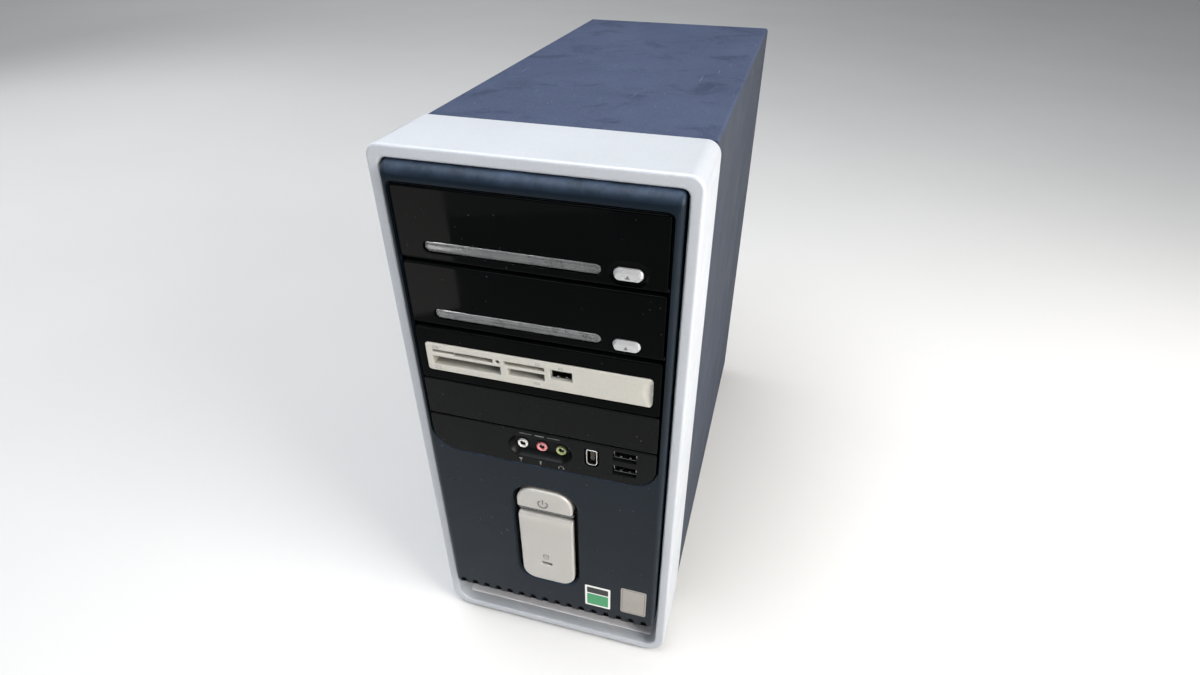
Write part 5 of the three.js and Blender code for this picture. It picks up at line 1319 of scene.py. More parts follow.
def fan_frame(m, c, axis, size, bore, w0, w1, hub, s0, s1, mat):
    h = size / 2
    sq = rrect(c[0] - h, c[0] + h, c[1] - h, c[1] + h, 4, 5)
    k = h - 5
    holes = [circle(c[0] + sx * k, c[1] + sy * k, 2.2, 14) for sx in (-1, 1) for sy in (-1, 1)]
    bores = [(circle(c[0], c[1], bore + 1.6, 72), w0), (circle(c[0], c[1], bore + 0.5, 72), w0 + 1.0), (circle(c[0], c[1], bore, 72), w0 + 2.6), (circle(c[0], c[1], bore, 72), w1 - 2.6), (circle(c[0], c[1], bore + 0.5, 72), w1 - 1.0), (circle(c[0], c[1], bore + 1.6, 72), w1)]
    outer = [(offset(sq, -i), w) for i, w in rounding(w0, w1, 0.6, 2)]
    hs = [[(offset(hh, 0.3), w0), (hh, w0 + 0.3), (hh, w1 - 0.3), (offset(hh, 0.3), w1)] for hh in holes]
    m.solid(outer, [bores] + hs, mat, axis)
    for i in range(4):
        a = math.pi / 4 + i * math.pi / 2
        bar = turn([(hub / 2, -1.5), (bore + 0.6, -1.5), (bore + 0.6, 1.5), (hub / 2, 1.5)], c, a)
        m.solid([(offset(bar, -0.3), s0), (bar, s0 + 0.4), (bar, s1 - 0.4), (offset(bar, -0.3), s1)], [], mat, axis)
    m.rod(c, hub, s0, s1, mat, axis, 40, 0.6)
    m.rod(c, hub * 0.62, s1 if s1 > s0 else s0, (s1 if s1 > s0 else s0) + 0.12, LABEL, axis, 32, 0.02)


def fan_rotor(m, c, axis, hub, tip, w0, w1, n, mat, hand=1, face=0):
    """Hub cup with curved, twisted blades between w0 and w1."""
    wf, wb = (w0, w1) if face == 0 else (w1, w0)
    s = 1 if wb > wf else -1
    m.lathe([(0, wf + s * 0.8), (hub * 0.3, wf + s * 0.3), (hub - 2.2, wf + s * 0.1), (hub - 0.8, wf + s * 0.5), (hub, wf + s * 1.8), (hub, wb), (hub - 1.5, wb), (0, wb - s * 0.2)], mat, c, axis, 48)
    m.rod(c, hub * 0.55, wf + s * 0.12, wf - s * 0.02, LABEL, axis, 32, 0.02)
    to = TO3[axis]
    nr, nt = 7, 9
    lo, hi = min(w0, w1) + 0.8, max(w0, w1) - 0.8
    for b in range(n):
        base = 2 * math.pi * b / n
        verts, faces = [], []
        for side in (0, 1):
            for i in range(nr):
                u = i / (nr - 1)
                r = hub - 0.4 + (tip - hub + 0.4) * u
                chord = math.radians(330 / n) * (0.80 + 0.12 * u) * hand
                sweep = 0.30 * u * u * hand
                for j in range(nt):
                    t = j / (nt - 1)
                    ang = base + sweep + chord * (t - 0.5) + 0.05 * hand * math.sin(math.pi * t)
                    w = lo + (hi - lo) * (t ** 0.92)
                    th = (0.75 if side else -0.75) * (0.35 + 0.65 * math.sin(math.pi * min(max(t, 0.08), 0.92))) * (1 - 0.35 * u)
                    ang2 = ang + th / r * 0.9
                    w2 = w - th * 0.5 * hand
                    w2 = min(max(w2, lo), hi)
                    verts.append(to(c[0] + r * math.cos(ang2), c[1] + r * math.sin(ang2), w2))
        S = nr * nt
        for i in range(nr - 1):
            for j in range(nt - 1):
                a = i * nt + j
                faces.append((a, a + 1, a + nt + 1, a + nt))
                faces.append((S + a, S + a + nt, S + a + nt + 1, S + a + 1))
        border = [i for i in range(nt)] + [k * nt + nt - 1 for k in range(1, nr)] + [(nr - 1) * nt + j for j in range(nt - 2, -1, -1)] + [k * nt for k in range(nr - 2, 0, -1)]
        for p, q in zip(border, border[1:] + border[:1]):
            faces.append((p, q, S + q, S + p))
        m.put(verts, faces, mat)


def supply():
    m = M()
    x0, x1, v0, v1, z0, z1 = -73.5, 76.5, 246, 386.0, 297, 383.2
    o = rrect(x0, x1, z0, z1, 1.2, 4)
    i = rrect(x0 + 1.2, x1 - 1.2, z0 + 1.2, z1 - 1.2, 0.4, 4)
    m.loop([(offset(o, -0.3), v0), (o, v0 + 0.3), (o, v1 - 0.3), (offset(o, -0.3), v1), (offset(i, 0.3), v1), (i, v1 - 0.3), (i, v0 + 0.3), (offset(i, 0.3), v0)], PSU_GREY)
    front = offset(i, 0.1)
    hs = []
    for a in range(9):
        for b in range(5):
            hs.append(rrect(-56 + a * 12, -47 + a * 12, 308 + b * 13, 314 + b * 13, 2.9, 5))
    m.plate(front, v0 + 0.05, v0 + 1.2, PSU_GREY, hs, 0.25, 1)
    hs = [circle(-28, 340, 37.5, 72), rrect(33.2, 60.8, 345.2, 366.8, 1.5, 4), rrect(40.2, 51.5, 313.4, 322.6, 0.5, 3)]
    hs += [rrect(28 + k * 7, 32 + k * 7, 326, 338, 1.9, 4) for k in range(6)]
    m.plate(front, v1 - 1.2, v1 - 0.05, PSU_GREY, hs, 0.25, 1)
    # screws, blank rating label, cable bushing
    for d in (262, 316, 370):
        screw(m, (d, 302), x0, -1, "x", 2.6)
        screw(m, (d, 378), x0, -1, "x", 2.6)
    m.plate(rrect(270, 360, 312, 368, 2, 4), x0 - 0.16, x0 + 0.05, LABEL, [], 0.03, 1, "x")
    m.plate(rrect(275, 355, 352, 363, 1, 3), x0 - 0.2, x0 - 0.1, GREEN_P, [], 0.02, 1, "x")
    m.ringlathe([(10.5, 296.2), (11.2, 296.7), (11.2, 299.2), (8.5, 299.2), (8.3, 298.6), (8.3, 296.8), (9.0, 296.2)], BLACK, (58, 260), "z", 32)
    # transformer, heatsinks and choke seen through the slots
    m.box(-50, -46, 262, 330, 300, 360, ALU_FIN, 0.4)
    m.box(30, 34, 262, 330, 300, 352, ALU_FIN, 0.4)
    m.box(-30, 8, 270, 310, 299, 332, CABLE_Y, 1.2)
    m.rod((-12, 322), 7, 299, 330, CAP, "z", 24, 0.8)
    m.plate(rrect(-70, 73, 250, 340, 1, 2), 299.4, 300.9, PCB2, [], 0.1, 1, "z")
    # wire guard over the fan, outside the rear wall
    for r in (8, 15, 22, 29, 36):
        m.tube([(-28 + r * math.cos(2 * math.pi * k / 40), v1 + 1.5, 340 + r * math.sin(2 * math.pi * k / 40)) for k in range(40)], 0.75, CHROME, 8, closed=True)
    for a in range(4):
        t = math.pi / 4 + a * math.pi / 2
        ca, sa = math.cos(t), math.sin(t)
        m.tube([(-28 + 5 * ca, v1 + 0.8, 340 + 5 * sa), (-28 + 20 * ca, v1 + 0.8, 340 + 20 * sa), (-28 + 37 * ca, v1 + 0.8, 340 + 37 * sa), (-28 + 42 * ca, v1 + 0.7, 340 + 42 * sa), (-28 + 45 * ca, v1 + 0.7, 340 + 45 * sa)], 0.8, CHROME, 8)
        screw(m, (-28 + 45.5 * ca, 340 + 45.5 * sa), v1 + 0.8, 1, "d", 3.0)
    # fan carrier just inside the wall
    for q in range(4):
        bar = turn([(9, -1.4), (38.0, -1.4), (38.0, 1.4), (9, 1.4)], (-28, 340), q * math.pi / 2)
        m.solid([(bar, v1 - 3.4), (bar, v1 - 1.1)], [], FANBLK)
    m.rod((-28, 340), 15, v1 - 3.4, v1 - 1.1, FANBLK, "d", 40, 0.5)
    m.build("supply_case", CH, "power_supply")

    m = M()
    fl = rrect(30, 64, 342, 370, 2.2, 5)
    m.plate(fl, v1 + 0.2, v1 + 1.9, BLACK, [rrect(35, 59, 348, 364.4, [1, 1, 4.2, 4.2], 5)], 0.5, 3)
    so = rrect(33.4, 60.6, 345.4, 366.6, 1.4, 4)
    si = rrect(35, 59, 348, 364.4, [1, 1, 4.2, 4.2], 5)
    m.loop([(rrect(33.4, 60.6, 345.4, 366.6, 1.4, 5), v1 + 0.4), (rrect(33.4, 60.6, 345.4, 366.6, 1.4, 5), v1 - 15.8), (rrect(35, 59, 348, 364.4, [1, 1, 4.2, 4.2], 5), v1 - 15.8), (rrect(35, 59, 348, 364.4, [1, 1, 4.2, 4.2], 5), v1 + 0.4)], BLACK)
    m.plate(rrect(34, 60, 346.5, 365.5, 1, 4), v1 - 15.7, v1 - 13.6, BLACK_DEEP, [], 0.2, 1)
    for x, z in ((40.4, 353.6), (53.6, 353.6), (47, 359.4)):
        m.box(x - 1.0, x + 1.0, v1 - 14, v1 - 2.2, z - 2.0, z + 2.0, CHROME, 0.5)
    for x in (31.6, 62.4):
        m.lathe([(0, v1 + 2.0), (0.9, v1 + 2.1), (1.1, v1 + 1.9), (1.1, v1 + 1.2), (0, v1 + 1.2)], CHROME, (x, 356), "d", 14)
    m.build("mains_socket", CH, "mains_inlet")

    m = M()
    m.box(40.4, 49.6, v1 - 6, v1 - 1.3, 313.6, 322.4, RED, 0.3)
    m.box(42.6, 46.0, v1 - 1.6, v1 + 0.7, 315, 321, RED, 0.4)
    m.box(43.1, 45.5, v1 + 0.6, v1 + 0.8, 317.6, 318.4, PRINT, 0.05)
    m.build("selector_knob", "voltage_selector", "voltage_selector")
    m = M()
    fan_rotor(m, (-28, 340), "d", 15, 35.5, 358.0, 380.0, 9, FANBLK, 1, 1)
    m.build("supply_rotor", "power_supply_fan", "power_supply_fan")


supply()

m = M()
fan_frame(m, (-22, 215), "d", 92, 44, 360.9, 385.9, 18, 383.4, 385.8, FANBLK)
m.build("rear_frame", CH, "rear_fan_frame")
m = M()
fan_rotor(m, (-22, 215), "d", 17, 42, 361.5, 380.0, 9, FANBLK, 1, 0)
m.build("rear_rotor", "rear_fan_rotor", "rear_fan_rotor")


# =================================================================== mainboard
def header(m, d0, d1, z0, z1, x0, mat, rows=2, n=20):
    """Open-topped pin header standing on the board, facing -x."""
    o, i = rrect(d0, d1, z0, z1, 0.5, 3), rrect(d0 + 1, d1 - 1, z0 + 1, z1 - 1, 0.3, 3)
    m.loop([(offset(o, -0.2), x0), (o, x0 + 0.2), (o, 75.7), (i, 75.7), (i, x0 + 0.2), (offset(i, 0.2), x0)], mat, "x")
    m.box(73.6, 75.7, d0 + 0.6, d1 - 0.6, z0 + 0.6, z1 - 0.6, mat, 0.1, 2, "x")
    for k in range(n):
        z = z0 + 3 + (z1 - z0 - 6) * k / (n - 1)
        for r in range(rows):
            d = d0 + (d1 - d0) * (r + 1) / (rows + 1)
            m.box(x0 + 1.2, 73.8, d - 0.3, d + 0.3, z - 0.3, z + 0.3, GOLD, 0.08, 1, "x")


def mainboard():
    m = M()
    hs = [circle(d, z, 2.0, 18) for d in (150, 262, 376) for z in (52, 276)]
    m.plate(rrect(140, 384, 42, 286, 1, 3), 75.6, 77.2, PCB, hs, 0.12, 1, "x")
    for d in (150, 262, 376):
        for z in (52, 276):
            screw(m, (d, z), 75.6, -1, "x", 3.2)
    # processor socket with its lever
    m.plate(rrect(272, 328, 188, 242, 1.5, 4), 69.0, 75.7, IVORY, [rrect(286, 314, 202, 228, 1, 3)], 0.5, 2, "x")
    m.box(66.4, 69.2, 276, 324, 192, 238, ALU, 0.5, 2, "x")
    m.tube([(70, 269.6, 190), (69, 269.6, 214), (69, 269.6, 238), (68.4, 271, 243.5), (67.5, 276, 244.5)], 0.9, CHROME, 8)
    # cooler bracket
    for z in (172.5, 255.2):
        m.box(72.2, 75.7, 258, 342, z, z + 2.8, BLACK, 0.6, 2, "x")
    # memory sockets
    for d in (180, 198):
        m.plate(rrect(d - 4, d + 4, 126, 265, 0.8, 3), 67.6, 75.7, IVORY if d == 180 else BLUE, [rrect(d - 0.95, d + 0.95, 128.9, 262.1, 0.2, 2)], 0.4, 2, "x")
        for k in range(60):
            z = 131 + k * 2.15
            m.box(68.2, 75.4, d + 0.92, d + 1.12, z, z + 0.9, GOLD, 0.03, 1, "x")
            m.box(68.2, 75.4, d - 1.12, d - 0.92, z, z + 0.9, GOLD, 0.03, 1, "x")
    # expansion slots
    for z0, z1 in ((114, 122.4), (93.7, 102), (73.4, 81.8)):
        zc = (z0 + z1) / 2
        m.plate(rrect(262, 347, z0, z1, 0.7, 3), 61, 75.7, WHITE, [rrect(266, 343, zc - 1.2, zc + 1.2, 0.2, 2)], 0.5, 2, "x")
        m.box(73, 75.6, 265, 344, zc - 2, zc + 2, BLACK_DEEP, 0.1, 1, "x")
        if z0 < 110:
            for k in range(30):
                d = 268 + k * 2.5
                m.box(62.0, 73.2, d, d + 0.9, zc + 1.15, zc + 1.4, GOLD, 0.03, 1, "x")
    header(m, 146, 155, 66, 122, 66.6, BLUE, 2, 20)
    header(m, 160, 169, 66, 122, 66.6, WHITE, 2, 20)
    # main power socket: two rows of square wells
    o = rrect(146, 156, 214, 266, 0.6, 3)
    wells = [rrect(147.2 + r * 4.3, 150.6 + r * 4.3, 216.4 + k * 4.9, 219.8 + k * 4.9, 0.5, 2) for r in (0, 1) for k in range(10)]
    m.plate(o, 62.6, 75.7, IVORY, wells, 0.25, 1, "x")
    m.box(60.6 + 2, 64, 156, 157.8, 236, 244, IVORY, 0.3, 2, "x")
    # chipset with a small finned sink, second chip, audio and network chips
    m.box(71.6, 75.7, 220, 250, 150, 180, CHIP, 0.4, 2, "x")
    for k in range(7):
        m.box(66.0, 72.0, 221, 249, 151 + k * 4.3, 152.6 + k * 4.3, ALU_FIN, 0.3, 2, "x")
    for d0, d1, z0, z1, t in ((196, 224, 84, 112, 1.8), (330, 342, 156, 168, 1.6), (352, 364, 96, 106, 1.5), (230, 246, 60, 76, 1.8), (176, 184, 52, 62, 1.4), (344, 352, 60, 74, 1.4)):
        m.box(75.6 - t, 75.65, d0, d1, z0, z1, CHIP, 0.25, 2, "x")
        nn = int((z1 - z0) / 1.5)
        for k in range(nn):
            z = z0 + 0.9 + k * (z1 - z0 - 1.8) / max(1, nn - 1)
            m.box(75.25, 75.66, d0 - 1.3, d0 + 0.2, z - 0.25, z + 0.25, SOLDER, 0.06, 1, "x")
            m.box(75.25, 75.66, d1 - 0.2, d1 + 1.3, z - 0.25, z + 0.25, SOLDER, 0.06, 1, "x")
    # capacitors round the processor and slots
    rnd = random.Random(4)
    spots = [(246 + 0 * k, 196 + k * 11) for k in range(5)] + [(257, 258), (268, 264), (279, 264), (290, 264), (301, 264), (312, 264), (346, 180), (346, 168), (220, 130), (232, 130), (208, 150), (208, 160), (256, 132), (330, 132), (170, 196), (160, 190), (230, 200), (230, 212), (356, 86), (356, 66)]
    for i, (d, z) in enumerate(spots):
        r, h = (4.0, 12.5) if i < 11 else (3.0, 8.5)
        m.lathe([(0, 75.6), (r, 75.6), (r, 75.0), (r * 0.9, 74.6), (r, 74.2), (r, 76 - h), (r * 0.93, 75.6 - h), (r * 0.86, 75.5 - h)], CAP, (d, z), "x", 20)
        m.lathe([(0, 75.6 - h + 0.1), (r * 0.86, 75.62 - h), (r * 0.8, 75.4 - h), (0, 75.4 - h)], ALU, (d, z), "x", 20)
    # chokes
    for d, z in ((256, 246), (258, 232)):
        for k in range(14):
            a = 2 * math.pi * k / 14
            rr_ = 4.6
            cx, cz_ = d + rr_ * math.cos(a), z + rr_ * math.sin(a)
            m.tube([(75.4, cx, cz_), (69.5, cx, cz_)], 1.0, COPPER, 8)
        m.rod((d, z), 3.6, 69.6, 75.6, CHIP, "x", 20, 0.4)
    # battery, front-panel pins, small parts, crystal
    m.lathe([(0, 70.9), (9.4, 70.9), (10, 71.4), (10, 74.0), (0, 74.0)], CHROME, (222, 226 - 8), "x", 40)
    m.ringlathe([(10.4, 73.6), (11.4, 73.6), (11.4, 75.7), (10.2, 75.7)], CHIP, (222, 226 - 8), "x", 32)
    for k in range(9):
        for r in (0, 1):
            m.box(67.6, 75.6, 150 + k * 2.54, 150.6 + k * 2.54, 58 + r * 2.54, 58.6 + r * 2.54, GOLD, 0.1, 1, "x")
    m.box(73.2, 75.65, 149, 173.6, 57, 62, CHIP, 0.2, 1, "x")
    m.box(69.8, 75.65, 190, 216, 56, 60, WHITE, 0.4, 2, "x")
    m.plate(rrect(310, 322, 140, 145, 2.3, 4), 71.6, 75.7, CHROME, [], 0.4, 2, "x")
    for k in range(150):
        d, z = 144 + rnd.random() * 232, 46 + rnd.random() * 234
        if any(a - 3 < d < b + 3 and c - 3 < z < e + 3 for a, b, c, e in ((268, 345, 170, 258), (172, 206, 122, 268), (258, 350, 70, 126), (142, 172, 54, 126), (142, 160, 210, 270), (216, 254, 146, 184), (358, 384, 126, 284), (208, 238, 204, 232))):
            continue
        if rnd.random() < 0.6:
            a, b = (1.0, 0.5) if rnd.random() < 0.5 else (0.5, 1.0)
            m.box(75.0, 75.65, d - a, d + a, z - b, z + b, CHIP, 0.1, 1, "x")
            m.box(75.05, 75.64, d - a - 0.25, d - a + 0.15, z - b, z + b, SOLDER, 0.05, 1, "x")
            m.box(75.05, 75.64, d + a - 0.15, d + a + 0.25, z - b, z + b, SOLDER, 0.05, 1, "x")
        else:
            m.box(74.9, 75.65, d - 0.9, d + 0.9, z - 0.6, z + 0.6, IVORY, 0.1, 1, "x")
    m.build("board_assembly", CH, "mainboard")


mainboard()


def rear_ports():
    m = M()
    m.box(50, 75.3, 362, 384.6, 130, 264, CHROME, 0.8, 2, "x")
    m.box(50, 75.3, 362, 385.4, 264.2, 281, IVORY, 0.6)
    # thin shield plate filling the window
    hs = [rrect(56, 71, 133, 149, 0.8, 3), rrect(55, 70, 150.5, 165, 0.8, 3), rrect(56, 71, 181, 197, 0.8, 3), rrect(53.5, 73.5, 205.5, 262.5, 1.5, 4), rrect(55.5, 73.5, 265.5, 279.5, 0.8, 3)]
    m.plate(rrect(37, 79.2, 128, 283, 1.5, 4), 386.0, 386.35, TIN, hs, 0.1, 1)
    def stack(z0):
        for z in (z0, z0 + 8):
            o, i = rrect(56.4, 70.6, z, z + 6.4, 0.6, 3), rrect(57, 70, z + 0.6, z + 5.8, 0.3, 3)
            m.loop([(offset(o, -0.12), 388.9), (o, 388.7), (o, 376), (i, 376), (i, 388.7), (offset(i, 0.12), 388.9)], CHROME)
            m.box(56.6, 70.4, 375.8, 376.6, z + 0.2, z + 6.2, BLACK_DEEP, 0.1)
            m.box(58.2, 68.8, 376.4, 387.6, z + 3.3, z + 4.7, BLACK, 0.2)
            for k in range(4):
                m.box(59.4 + k * 2.5, 60.2 + k * 2.5, 377, 387, z + 3.15, z + 3.35, GOLD, 0.04)
    stack(134)
    stack(182)
    # network socket
    o, i = rrect(55.4, 69.6, 151, 164.6, 0.8, 3), rrect(56.6, 68.4, 152.2, 163.6, 0.4, 3)
    m.loop([(offset(o, -0.12), 388.9), (o, 388.7), (o, 372), (i, 372), (i, 388.7), (offset(i, 0.12), 388.9)], CHROME)
    m.box(55.6, 69.4, 371.6, 372.4, 151.2, 164.4, BLACK_DEEP, 0.1)
    for k in range(8):
        m.box(57.9 + k * 1.2, 58.3 + k * 1.2, 376, 386.5, 162.2, 163.4, GOLD, 0.05)
    # screened video and serial connectors
    for z0, z1, c, pins in ((206, 232, BLUE, 5), (234.6, 261, TEAL_P, 5)):
        o = rrect(56.4, 71.0, z0 + 2.6, z1 - 2.6, 2.6, 5)
        m.loop([(offset(o, -0.15), 391.0), (o, 390.8), (o, 385), (offset(o, -0.6), 385), (offset(o, -0.6), 390.8)], CHROME)
        m.plate(rrect(54, 73.2, z0 - 0.6, z1 + 0.6, 1.2, 4), 385.2, 386.5, CHROME, [], 0.2, 1)
        m.plate(offset(o, -0.9), 385.6, 388.6, c, [circle(60.4 + r * 3.3, z0 + 6.2 + k * (z1 - z0 - 12.4) / (pins - 1), 0.75, 10) for r in range(3) for k in range(pins)], 0.3, 2)
        for z in (z0 + 0.4, z1 - 0.4):
            m.rod((63.7, z), 1.9, 386.4, 390.2, CHROME, "d", 6, 0.3)
    # keyboard socket
    for (x, z), c in (((64.4, 272.4), PURPLE_P),):
        m.ringlathe([(6.4, 386.0), (6.4, 389.6), (5.9, 390.0), (5.0, 389.8), (4.7, 389.2), (4.7, 381), (6.4, 381)], c, (x, z), "d", 36)
        m.rod((x, z), 4.75, 380.6, 382, BLACK_DEEP, "d", 28, 0.1)
        for a in range(6):
            t = math.radians(30 + a * 60)
            m.rod((x + 2.7 * math.cos(t), z + 2.7 * math.sin(t)), 0.5, 381.5, 381.9, CHROME, "d", 8, 0.1)
    # audio jacks beside the network socket
    for z, c in ((170.2, LIME), (174.8 + 2.4, PINK)):
        m.ringlathe([(2.9, 386.2), (2.9, 388.6), (2.6, 388.9), (2.0, 388.8), (1.75, 388.3), (1.75, 380), (2.9, 380)], c, (62.5, z), "d", 28)
        m.rod((62.5, z), 1.8, 379.8, 381, BLACK_DEEP, "d", 20, 0.1)
    m.build("rear_ports", CH, "rear_port_block")


rear_ports()

for name, d in (("memory_module_a", 180), ("memory_module_b", 198)):
    m = M()
    out = [(129.1, 71.7), (193.8, 71.7), (194.2, 69.4), (196.6, 69.4), (197.0, 71.7), (261.9, 71.7), (261.9, 60.4), (260.2, 59.6), (260.2, 57.2), (261.9, 56.4), (261.9, 40.9), (261.5, 40.5), (129.5, 40.5), (129.1, 40.9), (129.1, 56.4), (130.8, 57.2), (130.8, 59.6), (129.1, 60.4)]
    pts = [(x, z) for z, x in out][::-1]
    m.solid([(pts, d - 0.62), (pts, d + 0.62)], [], PCB2, "d")
    for s in (-1, 1):
        for k in range(8):
            z = 134 + k * 15.4 + (2.4 if k > 3 else 0)
            lo, hi = (d + 0.6, d + 1.9) if s > 0 else (d - 1.9, d - 0.6)
            m.box(46, 57.5, lo, hi, z, z + 12, CHIP, 0.25, 2)
            for q in range(9):
                zz = z + 1 + q * 1.25
                a, b = (d + 0.6, d + 0.95) if s > 0 else (d - 0.95, d - 0.6)
                m.box(45.2, 46.2, a, b, zz - 0.3, zz + 0.3, SOLDER, 0.05, 1)
                m.box(57.3, 58.3, a, b, zz - 0.3, zz + 0.3, SOLDER, 0.05, 1)
        for k in range(56):
            z = 131.2 + k * 2.28
            if 192.8 < z < 197:
                continue
            a, b = (d + 0.58, d + 0.68) if s > 0 else (d - 0.68, d - 0.58)
            m.box(68.0, 71.4, a, b, z - 0.6, z + 0.6, GOLD, 0.02, 1)
        a, b = (d + 0.58, d + 0.7) if s > 0 else (d - 0.7, d - 0.58)
    m.box(47.5, 56, d - 2.02, d - 1.85, 178, 214, LABEL, 0.03, 1)
    m.build(name + "_stick", CH, name)

for name, d, z, up in (("memory_latch_a_top", 180, 265, 1), ("memory_latch_a_bottom", 180, 126, -1), ("memory_latch_b_top", 198, 265, 1), ("memory_latch_b_bottom", 198, 126, -1)):
    m = M()
    prof = [(74.2, 1.4), (74.2, 4.2), (73, 5.2), (60, 5.2), (56, 7.4), (55.0, 7.3), (54.5, 6.6), (58, 2.4), (66, 0.5), (73.4, 0.5)]
    pts = [(x, z + up * o) for x, o in prof]
    if up < 0:
        pts = pts[::-1]
    m.plate(pts[::-1] if sum((pts[i - 1][0] * pts[i][1] - pts[i][0] * pts[i - 1][1]) for i in range(len(pts))) < 0 else pts, d - 2.8, d + 2.8, WHITE, [], 0.35, 2)
    for q in range(4):
        o = 5.2 + q * 0.0
        m.box(61 + q * 2.2, 62 + q * 2.2, d - 2.2, d + 2.2, *(sorted((z + up * 5.0, z + up * 5.6))), WHITE, 0.2)
    m.build(name + "_lever", name, name)

# ============================================================ processor cooler
m = M()
m.box(60.6, 66.3, 262, 338, 176, 254, ALU, 0.5, 2, "x")
for i in range(24):
    z = 176.1 + i * 3.34
    m.box(30, 60.8, 262, 338, z, z + 1.0, ALU_FIN, 0.25, 1, "x")
m.tube([(62, 261, 250), (56, 259.6, 246), (50, 259.4, 215), (56, 259.6, 184), (64, 260.4, 178)], 1.1, CHROME, 8)
m.build("cooler_fins", CH, "cpu_heatsink")
m = M()
fan_frame(m, (300, 215), "x", 76, 36.5, 11.5, 29.5, 15, 26.9, 29.3, FANBLK)
m.build("cooler_frame", CH, "cpu_fan_frame")
m = M()
fan_rotor(m, (300, 215), "x", 14, 34.8, 11.9, 25.2, 7, FANBLK, -1, 0)
m.build("cooler_rotor", "cpu_fan_rotor", "cpu_fan_rotor")

# ================================================================== modem card
m = M()
card = [(10, 262), (60.6, 262), (60.6, 275), (72.2, 275), (72.2, 296), (70.6, 297), (70.6, 299), (72.2, 300), (72.2, 340), (60.6, 340), (60.6, 380), (10, 380)]
m.plate(card, 117.4, 119, PCB2, [circle(16, 268, 1.8, 14)], 0.1, 1, "z")
for k in range(26):
    d = 277 + k * 2.4
    if 294 < d < 302:
        continue
    m.box(64.5, 72.0, d, d + 1.3, 118.95, 119.08, GOLD, 0.02, 1, "z")
    m.box(64.5, 72.0, d, d + 1.3, 117.3, 117.45, GOLD, 0.02, 1, "z")
for x0, x1, d0, d1, h in ((20, 38, 300, 318, 1.8), (42, 54, 326, 340, 1.8), (18, 28, 336, 346, 6), (44, 52, 286, 298, 2.2)):
    m.box(x0, x1, d0, d1, 118.9, 119 + h, CHIP, 0.3, 2, "z")
for x, d in ((34, 352), (44, 352), (52, 312), (16, 290)):
    m.lathe([(0, 119), (2.2, 119), (2.2, 125.4), (1.9, 125.8), (0, 125.7)], CAP, (x, d), "z", 16)
m.plate(rrect(-8, 69, 112.4, 123.6, 0.8, 3), 384.5, 385.4, TIN, [rrect(19.6, 31.4, 113.6, 122.0, 0.4, 3)], 0.15, 1)
m.box(66, 76, 384.5, 388.6, 112.6, 123.4, TIN, 0.3)
o, i = rrect(14.2, 40, 112.9, 122.9, 0.4, 3), None
jk = rrect(20, 31, 114, 121.6, 0.3, 3)
m.loop([(rrect(14.2, 40, 112.9, 122.9, 0.6, 3), 384.6), (rrect(14.2, 40, 112.9, 122.9, 0.6, 3), 372.2), (rrect(20, 31, 114, 121.6, 0.6, 3), 372.2), (rrect(20, 31, 114, 121.6, 0.6, 3), 384.6)], BLACK)
m.box(19, 32, 372.4, 375.9, 113.4, 122.2, BLACK_DEEP, 0.2)
for k in range(4):
    m.box(23 + k * 1.5, 23.4 + k * 1.5, 376, 383, 114.0, 115.2, GOLD, 0.05)
m.build("modem_board", CH, "modem_card")


# ======================================================================= wiring
def smooth(pts, per=5):
    P = [Vector(p) for p in pts]
    out = []
    for i in range(len(P) - 1):
        a, b, c, d = P[max(i - 1, 0)], P[i], P[i + 1], P[min(i + 2, len(P) - 1)]
        for k in range(per):
            t = k / per
            out.append(0.5 * ((2 * b) + (c - a) * t + (2 * a - 5 * b + 4 * c - d) * t * t + (3 * b - a - 3 * c + d) * t ** 3))
    out.append(P[-1])
    return out


def ribbon(m, stations, width, wires):
    P = smooth([s[0] for s in stations], 4)
    W = smooth([s[1] for s in stations], 4)
    pitch = width / wires
    # ridged section, the first wire red
    def section(k0, k1):
        top, bot = [], []
        for k in range(k0, k1):
            for f, h in ((0.06, 0.24), (0.5, 0.5), (0.94, 0.24)):
                x = -width / 2 + (k + f) * pitch
                top.append((x, h))
                bot.append((x, -h))
        return top + bot[::-1]
    for k0, k1, mt in ((0, 1, CABLE_R), (1, wires, RIBBON)):
        sec = section(k0, k1)
        verts, faces = [], []
        n = len(sec)
        for i, p in enumerate(P):
            t = (P[min(i + 1, len(P) - 1)] - P[max(i - 1, 0)]).normalized()
            w = (W[i] - t * W[i].dot(t)).normalized()
            nn = t.cross(w)
            verts += [tuple(p + w * a + nn * b) for a, b in sec]
        for i in range(len(P) - 1):
            for k in range(n):
                a, b = i * n + k, i * n + (k + 1) % n
                faces.append((a, b, b + n, a + n))
        half = n // 2
        for base in (0, (len(P) - 1) * n):
            for k in range(half - 1):
                faces.append((base + k, base + k + 1, base + n - 2 - k, base + n - 1 - k))
        m.put(verts, faces, mt)


m = M()
st = [((-36, 186.4, 338.6), (1, 0, 0)), ((-36, 194, 338.6), (1, 0, 0)), ((-36, 200, 334), (1, 0, 0)), ((-36, 203, 322), (1, 0, 0)), ((-36, 205, 296), (1, 0, 0)), ((-34, 212, 272), (1, 0, 0.1)),
      ((-26, 222, 240), (1, 0, 0.3)), ((-12, 226, 205), (1, 0, 0.45)), ((4, 225, 164), (0.9, 0, 0.7)), ((20, 219, 128), (0.6, 0, 0.9)), ((35, 203, 104), (0.3, 0, 1)), ((46, 180, 96), (0.1, 0, 1)),
      ((54, 166, 94), (0, 0, 1)), ((59, 164.5, 94), (0, 0, 1)), ((65.8, 164.5, 94), (0, 0, 1))]
ribbon(m, st, 45.5, 40)
m.box(-59, -13, 184.6, 196, 334.2, 343.0, BLACK, 0.5)
m.box(-58, -14, 195.8, 198, 335.6, 341.6, BLACK, 0.5)
